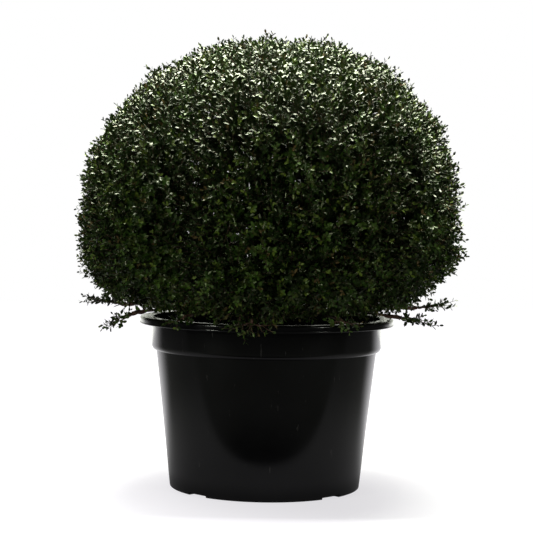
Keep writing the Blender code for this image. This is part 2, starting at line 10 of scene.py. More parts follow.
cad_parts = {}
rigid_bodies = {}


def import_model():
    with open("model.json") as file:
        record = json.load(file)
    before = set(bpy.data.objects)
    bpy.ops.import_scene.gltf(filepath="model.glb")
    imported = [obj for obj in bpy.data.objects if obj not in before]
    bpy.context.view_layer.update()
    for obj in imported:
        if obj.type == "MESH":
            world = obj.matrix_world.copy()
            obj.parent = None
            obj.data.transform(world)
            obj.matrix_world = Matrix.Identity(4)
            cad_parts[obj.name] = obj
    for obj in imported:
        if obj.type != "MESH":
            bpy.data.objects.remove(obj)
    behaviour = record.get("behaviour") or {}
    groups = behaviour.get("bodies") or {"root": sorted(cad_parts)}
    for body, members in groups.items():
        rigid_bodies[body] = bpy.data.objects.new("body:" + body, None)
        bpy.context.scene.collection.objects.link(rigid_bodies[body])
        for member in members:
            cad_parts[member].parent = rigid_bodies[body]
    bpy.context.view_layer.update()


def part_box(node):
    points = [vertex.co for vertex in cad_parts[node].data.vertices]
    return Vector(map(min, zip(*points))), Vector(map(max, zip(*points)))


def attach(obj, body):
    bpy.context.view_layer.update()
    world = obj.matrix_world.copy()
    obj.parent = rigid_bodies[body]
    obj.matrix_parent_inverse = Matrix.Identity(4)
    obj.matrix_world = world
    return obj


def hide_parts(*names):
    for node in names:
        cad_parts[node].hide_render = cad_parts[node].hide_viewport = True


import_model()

bpy.context.scene.view_settings.view_transform = "Standard"


# The pot. A thin nursery container, injection moulded in black polypropylene, with a turned-down
# lip, a band to grip it by and a tapered body. Holes through its floor and notches under its edge
# drain it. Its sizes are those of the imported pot.

POT_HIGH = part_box("pot")[1]
POT_HEIGHT = POT_HIGH.z
RIM_RADIUS = POT_HIGH.x
LIP_DEPTH = 0.0135
LIP_ROUND = 0.0034
BEAD_ROUND = 0.0020
BEAD_PROUD = 0.0008
BEAD_START = 53.0
BAND_RADIUS = 0.235
BAND_BOTTOM = 0.291
SHOULDER_HEIGHT = 0.279
BODY_TOP_RADIUS = 0.2252
BASE_RADIUS = 0.1945
BASE_ROUND = 0.0025
WALL = 0.003
FLOOR = 0.0035
FOOT_THICKNESS = 0.009
FOOT_WIDTH = 0.026
EDGE_ROUND = 0.0012
ARC_STEPS = 6
POT_STEPS = 192
POT_SHARP = math.radians(40)
NOTCH_AZIMUTHS = (-133, -47, 47, 133)
NOTCH_SIZE = Vector((0.032, 0.048, 0.011))
NOTCH_DEPTH = 0.016
DRAIN_HOLES = 8
DRAIN_RADIUS = 0.009
DRAIN_CIRCLE = 0.115
DRAIN_SIDES = 32
FIT_GAP = 0.0003
MERGE = 0.00001
PLASTIC_DARK = (0.0020, 0.0020, 0.0024)
PLASTIC_LIGHT = (0.0042, 0.0042, 0.0048)
PLASTIC_SCUFF = (0.055, 0.053, 0.050)
PLASTIC_ROUGHNESS = (0.11, 0.18)
BLOOM_SCALE = 9.0
BLOOM_DETAIL = 4.0
RUB_STRETCH = (1.0, 1.0, 0.16)
RUB_SCALE = 150.0
RUB_DETAIL = 3.0
RUB_LEVELS = (0.70, 0.82)
GRAIN_SCALE = 900.0
GRAIN_DETAIL = 2.0
GRAIN_STRENGTH = 0.015
GRAIN_DEPTH = 0.0004
MOTTLE_LEVELS = (0.30, 0.70)


def body_radius(height):
    """Outer radius of the pot's tapered body."""
    return BASE_RADIUS + (BODY_TOP_RADIUS - BASE_RADIUS) * height / SHOULDER_HEIGHT


def corner(middle, sizes, start, end):
    """Points on a quarter of an oval, in the pot's outline, from one angle to another in degrees."""
    points = []
    for step in range(ARC_STEPS + 1):
        angle = math.radians(start + (end - start) * step / ARC_STEPS)
        points.append((middle[0] + sizes[0] * math.cos(angle), middle[1] + sizes[1] * math.sin(angle)))
    return points


def shoulder(inset):
    """The rounded underside of the band, top to bottom, set in from the outer face."""
    sizes = (BAND_RADIUS - BODY_TOP_RADIUS, BAND_BOTTOM - SHOULDER_HEIGHT)
    return corner((BODY_TOP_RADIUS - inset, BAND_BOTTOM), sizes, 0, -90)


def pot_profile():
    """The section of the pot: up the inside from the middle of its floor, then down the outside."""
    inner_floor = BASE_RADIUS - FOOT_WIDTH
    lip_bottom = POT_HEIGHT - LIP_DEPTH
    inside = [(0.0, FLOOR), (inner_floor - FLOOR, FLOOR), (inner_floor, FOOT_THICKNESS)]
    inside.append((body_radius(FOOT_THICKNESS) - WALL, FOOT_THICKNESS))
    inside += shoulder(WALL)[::-1]
    inner = BAND_RADIUS - WALL + EDGE_ROUND
    inside += corner((inner, POT_HEIGHT - EDGE_ROUND), (EDGE_ROUND, EDGE_ROUND), 180, 90)
    upper = (RIM_RADIUS - BEAD_PROUD - LIP_ROUND, POT_HEIGHT - LIP_ROUND)
    outside = corner(upper, (LIP_ROUND, LIP_ROUND), 90, 0)
    lower = (RIM_RADIUS - BEAD_ROUND, lip_bottom + BEAD_ROUND)
    outside += corner(lower, (BEAD_ROUND, BEAD_ROUND), BEAD_START, -90)
    outside.append((RIM_RADIUS - WALL, lip_bottom))
    outside.append((RIM_RADIUS - WALL, POT_HEIGHT - WALL))
    outside.append((BAND_RADIUS, POT_HEIGHT - WALL))
    outside += shoulder(0.0)
    outside += corner((BASE_RADIUS - BASE_ROUND, BASE_ROUND), (BASE_ROUND, BASE_ROUND), 0, -90)
    outside.append((0.0, 0.0))
    return inside + outside


def new_object(name, data):
    obj = bpy.data.objects.new(name, data)
    bpy.context.scene.collection.objects.link(obj)
    return obj


def applied(obj):
    """The object with its modifiers worked into a plain mesh of its own."""
    bpy.context.view_layer.update()
    graph = bpy.context.evaluated_depsgraph_get()
    mesh = bpy.data.meshes.new_from_object(obj.evaluated_get(graph))
    obj.modifiers.clear()
    obj.data = mesh
    return obj


def turned(name, profile, steps):
    """A profile of (radius, height) points turned round the Z axis."""
    mesh = bpy.data.meshes.new(name)
    points = [(radius, 0.0, height) for radius, height in profile]
    mesh.from_pydata(points, [(i, i + 1) for i in range(len(points) - 1)], [])
    obj = new_object(name, mesh)
    screw = obj.modifiers.new("turn", "SCREW")
    screw.steps = steps
    screw.render_steps = steps
    screw.use_merge_vertices = True
    screw.merge_threshold = MERGE
    return applied(obj)


def outward(azimuth_degrees):
    azimuth = math.radians(azimuth_degrees)
    return Vector((math.cos(azimuth), math.sin(azimuth), 0.0))


def drain_cutters():
    """Boxes for the notches under the edge, and upright rods for the holes in the floor."""
    shelf = bpy.data.collections.new("drain_cutters")

    def keep(name, shape, place, azimuth):
        mesh = bpy.data.meshes.new(name)
        shape.to_mesh(mesh)
        shape.free()
        cutter = bpy.data.objects.new(name, mesh)
        cutter.location = place
        cutter.rotation_euler.z = math.radians(azimuth)
        shelf.objects.link(cutter)

    for azimuth in NOTCH_AZIMUTHS:
        shape = bmesh.new()
        bmesh.ops.create_cube(shape, size=1.0)
        bmesh.ops.scale(shape, vec=NOTCH_SIZE, verts=shape.verts)
        place = outward(azimuth) * (BASE_RADIUS - NOTCH_DEPTH + 0.5 * NOTCH_SIZE.x)
        keep("notch_cutter", shape, place, azimuth)
    for number in range(DRAIN_HOLES):
        shape = bmesh.new()
        sizes = {"radius1": DRAIN_RADIUS, "radius2": DRAIN_RADIUS, "depth": 4.0 * FLOOR}
        bmesh.ops.create_cone(shape, cap_ends=True, segments=DRAIN_SIDES, **sizes)
        place = outward(360.0 * (number + 0.5) / DRAIN_HOLES) * DRAIN_CIRCLE
        keep("drain_cutter", shape, place, 0.0)
    return shelf


def put_away(shelf):
    for obj in list(shelf.objects):
        bpy.data.objects.remove(obj, do_unlink=True)
    bpy.data.collections.remove(shelf)


def feed(tree, item, values):
    """Set a node's inputs by name or number: from sockets, nodes' first outputs or plain values."""
    for name, value in values.items():
        if isinstance(value, bpy.types.Node):
            value = value.outputs[0]
        if isinstance(value, bpy.types.NodeSocket):
            tree.links.new(value, item.inputs[name])
        else:
            item.inputs[name].default_value = value


def add_node(tree, kind, values=None, **settings):
    item = tree.nodes.new(kind)
    for name, value in settings.items():
        setattr(item, name, value)
    feed(tree, item, values or {})
    return item


def ramp(tree, source, start, end, kind="LINEAR"):
    """A value that goes from one level to another between two levels of its source."""
    values = {"From Min": start[0], "To Min": start[1], "From Max": end[0], "To Max": end[1]}
    values["Value"] = source
    return add_node(tree, "ShaderNodeMapRange", values, interpolation_type=kind)


def chosen(tree, kind, factor, first, second):
    """The first value or, where the factor is 1, the second."""
    values = {"Factor": factor, "A": first, "B": second}
    return add_node(tree, "ShaderNodeMix", values, data_type=kind).outputs["Result"]


def own_place(tree):
    return add_node(tree, "ShaderNodeTexCoord").outputs["Object"]


def noise_of(tree, place, scale, detail):
    values = {"Vector": place, "Scale": scale, "Detail": detail}
    return add_node(tree, "ShaderNodeTexNoise", values)


def relief(tree, shader, height, strength, depth):
    """A fine relief on a material, too small for its mesh."""
    values = {"Height": height, "Strength": strength, "Distance": depth}
    feed(tree, shader, {"Normal": add_node(tree, "ShaderNodeBump", values)})


def new_tree(name, tree_kind, inputs, outputs):
    """An empty group with named sockets, each with its kind and value, and its two end nodes."""
    tree = bpy.data.node_groups.new(name, tree_kind)
    for label, kind, value in inputs:
        socket = tree.interface.new_socket(label, in_out="INPUT", socket_type=kind)
        if value is not None:
            socket.default_value = value
    for label, kind in outputs:
        tree.interface.new_socket(label, in_out="OUTPUT", socket_type=kind)
    return tree, add_node(tree, "NodeGroupInput"), add_node(tree, "NodeGroupOutput")


def mottle_group():
    """Soft patches of two colours, in the piece's own coordinates, and their mask."""
    colour = "NodeSocketColor"
    inputs = [
        ("Scale", "NodeSocketFloat", 50.0),
        ("Detail", "NodeSocketFloat", 2.0),
        ("Dark", colour, (0.0, 0.0, 0.0, 1.0)),
        ("Light", colour, (1.0, 1.0, 1.0, 1.0)),
    ]
    outputs = [("Colour", colour), ("Mask", "NodeSocketFloat")]
    group, source, result = new_tree("mottle", "ShaderNodeTree", inputs, outputs)
    given = source.outputs
    cloud = noise_of(group, own_place(group), given["Scale"], given["Detail"])
    mask = ramp(group, cloud, (MOTTLE_LEVELS[0], 0.0), (MOTTLE_LEVELS[1], 1.0))
    blend = chosen(group, "RGBA", mask, given["Dark"], given["Light"])
    feed(group, result, {"Colour": blend, "Mask": mask})
    return group


MOTTLE = mottle_group()


def new_material(name):
    material = bpy.data.materials.new(name)
    material.use_nodes = True
    return material, material.node_tree, material.node_tree.nodes["Principled BSDF"]


def mottled(tree, scale, detail, dark, light):
    """The mottle group placed in a material with its own values."""
    values = {"Scale": scale, "Detail": detail, "Dark": (*dark, 1.0), "Light": (*light, 1.0)}
    return add_node(tree, "ShaderNodeGroup", values, node_tree=MOTTLE).outputs


def plastic_material():
    """Satin black plastic, with a cloudy bloom, a fine moulded grain and a few upright rubs."""
    material, tree, shader = new_material("pot_plastic")
    bloom = mottled(tree, BLOOM_SCALE, BLOOM_DETAIL, PLASTIC_DARK, PLASTIC_LIGHT)
    place = own_place(tree)
    stretch = add_node(tree, "ShaderNodeMapping", {"Vector": place, "Scale": RUB_STRETCH})
    rubs = noise_of(tree, stretch, RUB_SCALE, RUB_DETAIL)
    rubbed = ramp(tree, rubs, (RUB_LEVELS[0], 0.0), (RUB_LEVELS[1], 1.0))
    colour = chosen(tree, "RGBA", rubbed, bloom["Colour"], (*PLASTIC_SCUFF, 1.0))
    smooth, dull = PLASTIC_ROUGHNESS
    gloss = ramp(tree, bloom["Mask"], (0.0, smooth), (1.0, dull))
    feed(tree, shader, {"Base Color": colour, "Roughness": gloss})
    grain = noise_of(tree, place, GRAIN_SCALE, GRAIN_DETAIL)
    relief(tree, shader, grain, GRAIN_STRENGTH, GRAIN_DEPTH)
    return material


pot = turned("pot_shell", pot_profile(), POT_STEPS)
cutters = drain_cutters()
bpy.context.scene.collection.children.link(cutters)
drainage = pot.modifiers.new("drainage", "BOOLEAN")
drainage.operand_type = "COLLECTION"
drainage.collection = cutters
drainage.solver = "EXACT"
applied(pot)
put_away(cutters)
pot.data.shade_smooth()
pot.data.set_sharp_from_angle(angle=POT_SHARP)
pot.data.materials.clear()
pot.data.materials.append(plastic_material())
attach(pot, "root")
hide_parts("pot")


# The compost. Dark peat and composted bark that fills the pot to a little under its rim, a bit
# higher round the stem, with loose crumbs and shreds lying on it.

COMPOST_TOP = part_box("compost")[1].z
COMPOST_EDGE = 0.312
COMPOST_CROWN_RADIUS = 0.06
COMPOST_STEPS = 128
COMPOST_RINGS = 44
COMPOST_RELIEF = 0.0042
COMPOST_LUMP = 38.0
COMPOST_GRIT = 150.0
GRIT_SHARE = 0.5
COMPOST_SINK = 0.6
COMPOST_EDGE_KEEP = 0.012
CRUMB_COUNT = 2600
CRUMB_SIZES = (0.0012, 0.0042)
CRUMB_SIZE_SEED = 5
CRUMB_PLACE_SEED = 41
COMPOST_DARK = (0.010, 0.007, 0.005)
COMPOST_LIGHT = (0.050, 0.034, 0.022)
SHRED_SCALE = 420.0
SHRED_DETAIL = 6.0
SHRED_STRENGTH = 0.7
SHRED_DEPTH = 0.0012
COMPOST_ROUGHNESS = 0.95


def compost_height(radius):
    """Height of the level surface: flat round the stem, then falling to the pot's wall."""
    edge = BAND_RADIUS - WALL - FIT_GAP
    share = max(0.0, (radius - COMPOST_CROWN_RADIUS) / (edge - COMPOST_CROWN_RADIUS))
    return COMPOST_TOP - (COMPOST_TOP - COMPOST_EDGE) * share


def compost_profile():
    inset = WALL + FIT_GAP
    edge = BAND_RADIUS - inset
    inner_floor = BASE_RADIUS - FOOT_WIDTH - FIT_GAP
    points = []
    for ring in range(COMPOST_RINGS + 1):
        radius = edge * ring / COMPOST_RINGS
        points.append((radius, compost_height(radius)))
    points += shoulder(inset)
    points.append((body_radius(FOOT_THICKNESS) - inset, FOOT_THICKNESS + FIT_GAP))
    points.append((inner_floor, FOOT_THICKNESS + FIT_GAP))
    points.append((inner_floor - FLOOR, FLOOR + FIT_GAP))
    points.append((0.0, FLOOR + FIT_GAP))
    return points


def compost_material():
    """Peat with paler shreds, rough all over."""
    material, tree, shader = new_material("compost")
    shreds = mottled(tree, SHRED_SCALE, SHRED_DETAIL, COMPOST_DARK, COMPOST_LIGHT)
    feed(tree, shader, {"Base Color": shreds["Colour"], "Roughness": COMPOST_ROUGHNESS})
    relief(tree, shader, shreds["Mask"], SHRED_STRENGTH, SHRED_DEPTH)
    return material


def geometry_tree(name, inputs):
    """A tree that takes a mesh and these inputs, and gives a mesh."""
    shape = ("Geometry", "NodeSocketGeometry")
    return new_tree(name, "GeometryNodeTree", [(*shape, None), *inputs], [shape])


def end_tree(tree, shape, source, result):
    """The end of each tree: its instances made real, and the material set."""
    real = add_node(tree, "GeometryNodeRealizeInstances", {"Geometry": shape})
    values = {"Geometry": real, "Material": source.outputs["Material"]}
    feed(tree, result, {"Geometry": add_node(tree, "GeometryNodeSetMaterial", values)})


def built_by(obj, tree, values):
    """The object's mesh as this geometry tree makes it, with these values for its named inputs."""
    modifier = obj.modifiers.new("build", "NODES")
    modifier.node_group = tree
    for item in tree.interface.items_tree:
        if item.in_out == "INPUT" and item.name in values:
            modifier[item.identifier] = values[item.name]
    applied(obj)
    if obj.data.materials[0] is None:
        obj.data.materials.pop(index=0)
    return obj


def crumb_tree():
    """Crumbs of uneven size laid on the points of a mesh."""
    inputs = [
        ("Smallest", "NodeSocketFloat", CRUMB_SIZES[0]),
        ("Largest", "NodeSocketFloat", CRUMB_SIZES[1]),
        ("Seed", "NodeSocketInt", CRUMB_SIZE_SEED),
        ("Material", "NodeSocketMaterial", None),
    ]
    tree, source, result = geometry_tree("compost_crumbs", inputs)
    given = source.outputs
    crumb = add_node(tree, "GeometryNodeMeshIcoSphere", {"Radius": 0.5, "Subdivisions": 1})
    ends = {0: given["Smallest"], 1: given["Largest"], "Seed": given["Seed"]}
    size = add_node(tree, "FunctionNodeRandomValue", ends, data_type="FLOAT_VECTOR")
    ends = {1: (math.tau, math.tau, math.tau), "Seed": given["Seed"]}
    turn = add_node(tree, "FunctionNodeRandomValue", ends, data_type="FLOAT_VECTOR")
    values = {
        "Points": given["Geometry"],
        "Instance": crumb,
        "Rotation": turn,
        "Scale": size,
    }
    spread = add_node(tree, "GeometryNodeInstanceOnPoints", values)
    end_tree(tree, spread, source, result)
    return tree


def point_cloud(name, places):
    """An object whose mesh has only these points."""
    mesh = bpy.data.meshes.new(name)
    mesh.vertices.add(len(places))
    mesh.vertices.foreach_set("co", np.asarray(places, np.float32).ravel())
    return new_object(name, mesh)


def compost_relief(place):
    """How far the real surface stands above or below the level one."""
    lump = noise.noise(place * COMPOST_LUMP) + GRIT_SHARE * noise.noise(place * COMPOST_GRIT)
    room = BAND_RADIUS - WALL - FIT_GAP - math.hypot(place.x, place.y)
    return COMPOST_RELIEF * (lump - COMPOST_SINK) * min(1.0, max(0.0, room / COMPOST_EDGE_KEEP))


def compost_crumbs(material):
    dice = random.Random(CRUMB_PLACE_SEED)
    places = []
    for _ in range(CRUMB_COUNT):
        azimuth = dice.uniform(0.0, 360.0)
        radius = (BAND_RADIUS - 2.0 * WALL) * math.sqrt(dice.random())
        place = outward(azimuth) * radius
        place.z = compost_height(radius) + compost_relief(place)
        places.append(place)
    crumbs = point_cloud("compost_crumbs", places)
    return built_by(crumbs, crumb_tree(), {"Material": material})


compost = turned("compost_fill", compost_profile(), COMPOST_STEPS)
for vertex in compost.data.vertices:
    level = compost_height(math.hypot(vertex.co.x, vertex.co.y))
    if abs(vertex.co.z - level) < MERGE:
        vertex.co.z += compost_relief(Vector((vertex.co.x, vertex.co.y, 0.0)))
compost.data.shade_smooth()
peat = compost_material()
compost.data.materials.clear()
compost.data.materials.append(peat)
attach(compost, "root")
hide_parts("compost")
crumbs = compost_crumbs(peat)
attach(crumbs, "root")


# The trunk. A short woody stem, grey-brown and finely ridged, that flares into the compost. It is
# rooted there, and all the boughs grow out of it.

TRUNK_FOOT = COMPOST_TOP + FIT_GAP
TRUNK_HEIGHT = 0.072
TRUNK_RADIUS = 0.017
TRUNK_TIP_RADIUS = 0.014
FLARE_RADIUS = 0.034
FLARE_HEIGHT = 0.028
FLARE_FADE = 3.0
TRUNK_LEAN = Vector((0.006, -0.002, 0.0))
TRUNK_POINTS = 7
TRUNK_RINGS = 60
TRUNK_SIDES = 96
TRUNK_RIDGE = 0.0011
RIDGE_SCALE = 160.0
RIDGE_STRETCH = 0.22
KNOT_SCALE = 60.0
KNOT_SHARE = 0.6
RIDGE_SINK = 0.8
BARK_DARK = (0.045, 0.032, 0.024)
BARK_LIGHT = (0.150, 0.118, 0.090)
BARK_SCALE = 140.0
BARK_DETAIL = 5.0
BARK_ROUGHNESS = 0.82
PORES_PER_PATCH = 3.0
PORE_STRENGTH = 0.5
PORE_DEPTH = 0.0006


def trunk_axis(height):
    """The middle of the trunk at a height: upright at the foot and at the tip, leaning between."""
    step = (height - TRUNK_FOOT) / TRUNK_HEIGHT * (TRUNK_POINTS - 1)
    share = min(1.0, max(0.0, (step - 1.0) / (TRUNK_POINTS - 3)))
    return Vector((0.0, 0.0, height)) + TRUNK_LEAN * (share * share * (3.0 - 2.0 * share))


def trunk_radius(rise):
    """Radius at a height above the compost: the taper, and the flare that dies away up the foot."""
    taper = TRUNK_RADIUS + (TRUNK_TIP_RADIUS - TRUNK_RADIUS) * rise / TRUNK_HEIGHT
    return taper + (FLARE_RADIUS - TRUNK_RADIUS) * math.exp(-FLARE_FADE * rise / FLARE_HEIGHT)


def bark_limb(name, points, radii, sides, ridge):
    """A limb along a path, closed at both ends, whose radius rises and falls in fine ridges."""
    mesh_points = []
    faces = []
    side = Vector((1.0, 0.0, 0.0))
    for number, (point, radius) in enumerate(zip(points, radii)):
        before = points[max(0, number - 1)]
        after = points[min(len(points) - 1, number + 1)]
        way = (after - before).normalized()
        side = (side - way * way.dot(side)).normalized()
        other = way.cross(side)
        for step in range(sides):
            turn = math.tau * step / sides
            out = side * math.cos(turn) + other * math.sin(turn)
            spot = point + out * radius
            along = way * way.dot(spot)
            grain = noise.noise((spot - along + along * RIDGE_STRETCH) * RIDGE_SCALE)
            knot = noise.noise(spot * KNOT_SCALE)
            rise = ridge * (grain + KNOT_SHARE * knot - RIDGE_SINK)
            mesh_points.append(point + out * (radius + rise))
    for ring in range(len(points) - 1):
        for step in range(sides):
            a = ring * sides + step
            b = ring * sides + (step + 1) % sides
            faces.append((a, b, b + sides, a + sides))
    faces.append(tuple(range(sides))[::-1])
    faces.append(tuple(range((len(points) - 1) * sides, len(points) * sides)))
    mesh = bpy.data.meshes.new(name)
    mesh.from_pydata(mesh_points, [], faces)
    mesh.shade_smooth()
    return new_object(name, mesh)


def bark_material(name, dark, light, scale):
    """Woody bark: mottled colour, and a relief of fine cracks and raised pores."""
    material, tree, shader = new_material(name)
    patches = mottled(tree, scale, BARK_DETAIL, dark, light)
    feed(tree, shader, {"Base Color": patches["Colour"], "Roughness": BARK_ROUGHNESS})
    values = {"Vector": own_place(tree), "Scale": PORES_PER_PATCH * scale}
    pores = add_node(tree, "ShaderNodeTexVoronoi", values)
    relief(tree, shader, pores, PORE_STRENGTH, PORE_DEPTH)
    return material


old_bark = bark_material("old_bark", BARK_DARK, BARK_LIGHT, BARK_SCALE)


def finish_limb(limb, node):
    limb.data.materials.append(old_bark)
    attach(limb, "root")
    if node:
        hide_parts(node)


trunk_heights = [TRUNK_FOOT + TRUNK_HEIGHT * i / TRUNK_RINGS for i in range(TRUNK_RINGS + 1)]
trunk_points = [trunk_axis(height) for height in trunk_heights]
trunk_radii = [trunk_radius(point.z - TRUNK_FOOT) for point in trunk_points]
trunk = bark_limb("trunk_bark", trunk_points, trunk_radii, TRUNK_SIDES, TRUNK_RIDGE)
finish_limb(trunk, "trunk")


# The boughs. Five woody limbs curve out of the trunk and rise into the crown. They are the same
# wood as the trunk, each one a single tapering piece. Their places are azimuths in degrees.

CROWN_MIDDLE = Vector((0.009, 0.0, 0.530))
CEILING_HEIGHT = 0.490
BOUGHS = {"right": -8, "back_right": 62, "back_left": 133, "left": 201, "front": 278}
BOUGH_ROOT_HEIGHT = 0.364
BOUGH_SPREAD = 0.118
BOUGH_RADIUS = 0.0085
BOUGH_TIP_RADIUS = 0.0062
BOUGH_KNEE_RISE = 0.012
BOUGH_RINGS = 48
BOUGH_SIDES = 24
BOUGH_RIDGE = 0.0006


def arc(start, knee, tip, count):
    """Points along the parabola that leaves the start towards the knee and reaches the tip from it."""
    points = []
    for step in range(count):
        share = step / (count - 1)
        points.append(start.lerp(knee, share).lerp(knee.lerp(tip, share), share))
    return points


def tapering(first, last, count):
    return [first + (last - first) * i / (count - 1) for i in range(count)]


bough_tips = {}
for place, azimuth in BOUGHS.items():
    start = trunk_axis(BOUGH_ROOT_HEIGHT)
    tip = CROWN_MIDDLE + outward(azimuth) * BOUGH_SPREAD
    tip.z = CEILING_HEIGHT - FIT_GAP
    knee = Vector((tip.x, tip.y, BOUGH_ROOT_HEIGHT + BOUGH_KNEE_RISE))
    points = arc(start, knee, tip, BOUGH_RINGS)
    radii = tapering(BOUGH_RADIUS, BOUGH_TIP_RADIUS, BOUGH_RINGS)
    bough = bark_limb("bough_bark_" + place, points, radii, BOUGH_SIDES, BOUGH_RIDGE)
    finish_limb(bough, "bough_" + place)
    bough_tips[azimuth] = tip


# The low boughs. Ten thin limbs leave the trunk just over the compost and arch across the rim.
# Each carries one of the loose sprays that hang past the edge of the pot.

# Azimuth, radius and height of the bough's tip, radius and height that its spray reaches, and half
# the spray's width
LOW_SPRAYS = {
    "left_high": (181, 0.272, 0.370, 0.398, 0.384, 0.042),
    "left_low": (204, 0.264, 0.362, 0.366, 0.320, 0.050),
    "front_left": (236, 0.262, 0.362, 0.326, 0.338, 0.045),
    "front": (264, 0.258, 0.361, 0.298, 0.316, 0.060),
    "front_right": (300, 0.262, 0.362, 0.318, 0.336, 0.045),
    "right_low": (332, 0.264, 0.362, 0.386, 0.346, 0.050),
    "right_high": (356, 0.274, 0.371, 0.400, 0.386, 0.050),
    "back_right": (42, 0.266, 0.365, 0.362, 0.345, 0.055),
    "back": (92, 0.264, 0.363, 0.352, 0.338, 0.055),
    "back_left": (140, 0.266, 0.365, 0.364, 0.348, 0.055),
}
LOW_BOUGH_ROOT_HEIGHTS = (0.331, 0.345)
LOW_BOUGH_RADIUS = 0.0044
LOW_BOUGH_TIP_RADIUS = 0.0030
LOW_BOUGH_ARCH = 0.375
LOW_BOUGH_RINGS = 40
LOW_BOUGH_SIDES = 14
LOW_BOUGH_RIDGE = 0.0004


def polar(azimuth, radius, height):
    point = outward(azimuth) * radius
    point.z = height
    return point


for number, (place, (azimuth, radius, height, _, _, _)) in enumerate(LOW_SPRAYS.items()):
    start = trunk_axis(LOW_BOUGH_ROOT_HEIGHTS[number % 2])
    knee = polar(azimuth, 0.5 * radius, LOW_BOUGH_ARCH)
    tip = polar(azimuth, radius, height)
    points = arc(start, knee, tip, LOW_BOUGH_RINGS)
    radii = tapering(LOW_BOUGH_RADIUS, LOW_BOUGH_TIP_RADIUS, LOW_BOUGH_RINGS)
    bough = bark_limb("low_bough_bark_" + place, points, radii, LOW_BOUGH_SIDES, LOW_BOUGH_RIDGE)
    finish_limb(bough, "low_bough_" + place)


# The branches of the crown. From the tips of the boughs and of the trunk, branches fork again and
# again towards the clipped surface, where they end in thousands of short shoots.

CROWN_RADIUS = 0.397
CROWN_RISE = 0.391
CROWN_DROP = 0.185
UPPER_POWER = 2.22
CROWN_SIDESTEP = -0.006
CROWN_TOP_SHIFT = 0.016
LOWER_POWER = 3.2
LOWEST_SITE = math.radians(-37)
CROWN_SHOOTS = 7200
GOLDEN_ANGLE = math.pi * (3.0 - math.sqrt(5.0))
SHOOT_JITTER = 0.0045
TUFT_SCALE = 1.0 / 0.050
TUFT_RELIEF = 0.017
SHOOT_SCALE = 1.0 / 0.016
SHOOT_RELIEF = 0.004
SHOOT_SETBACK = 0.014
LONG_SHOOT_SHARE = 0.035
LONG_SHOOTS = (0.006, 0.017)

# Azimuth of the fringe's middle, half its angle, its lowest height and its count of shoots
FRINGES = (
    (262, 21, 0.314, 80),
    (306, 9, 0.336, 24),
    (222, 6, 0.346, 12),
    (112, 24, 0.346, 34),
    (64, 22, 0.350, 30),
)
FRINGE_TOP = 0.396
FRINGE_RADII = (0.262, 0.292)
FRINGE_ROUND = 1.5

# Azimuth, elevation and size of each thin place in degrees, and the most shoots that it lacks
THIN_PLACES = (
    (212, -25, 21, 0.84),
    (148, -25, 18, 0.70),
    (-3, -25, 24, 0.92),
)
THIN_SLOPE = 1.6
STRAGGLE = 0.020
STRAGGLE_WAYS = (-1.5, 1.0)
INNER_SHARE = 0.07
INNER_REACH = (0.55, 0.85)
SPLIT_BLUR = 0.17
SPLIT_SHARES = (0.36, 0.64)
STEM_TOP = CEILING_HEIGHT + 0.02
STEM_RADIUS = 0.0135
STEM_SHARE = math.radians(52)
ROOT_BLUR = 0.035
FORK_SHARE = 0.18
SPRAY_SHARE = 0.19
SPRAY_SHOOTS = 14
LEAFY_SHOOTS = 900
SHOOT_RADIUS = 0.00062
SHOOT_TIP = 0.6
TWIG_BEND = 0.07
TWIG_DARK = (0.048, 0.025, 0.017)
TWIG_LIGHT = (0.155, 0.080, 0.053)
TWIG_BARK_SCALE = 220.0
TWIG_SIDES = 3
BRANCH_SIDES = 6
GROWTH_SEED = 11


def dome_reach(elevation):
    """Distance from the middle of the dome to its clipped surface, at an angle above the level."""
    if elevation > 0.0:
        height, power = CROWN_RISE, UPPER_POWER
    else:
        height, power = CROWN_DROP, LOWER_POWER
    across = math.cos(elevation) / CROWN_RADIUS
    up = abs(math.sin(elevation)) / height
    return (across**power + up**power) ** (-1.0 / power)


def fringe_sites(azimuth, half_angle, lowest, count, dice):
    """Tips of shoots that hang over the lip of the pot, lowest in the middle of the fringe."""
    sites = []
    for number in range(count):
        side = 2.0 * (number + 0.5) / count - 1.0
        bottom = lowest + (FRINGE_TOP - lowest) * abs(side) ** FRINGE_ROUND
        height = dice.uniform(bottom, FRINGE_TOP)
        radius = dice.uniform(*FRINGE_RADII)
        sites.append(polar(azimuth + half_angle * side, radius, height))
    return sites


def openness(azimuth, elevation):
    """How thin the crown is in a direction, from 0 to 1: it opens low down on its left and right."""
    thin = 0.0
    for middle, height, size, most in THIN_PLACES:
        away = math.degrees(azimuth) - middle
        away = (away + 180.0) % 360.0 - 180.0
        off = math.hypot(away, math.degrees(elevation) - height) / size
        thin = max(thin, most * min(1.0, THIN_SLOPE * (1.0 - off)))
    return thin


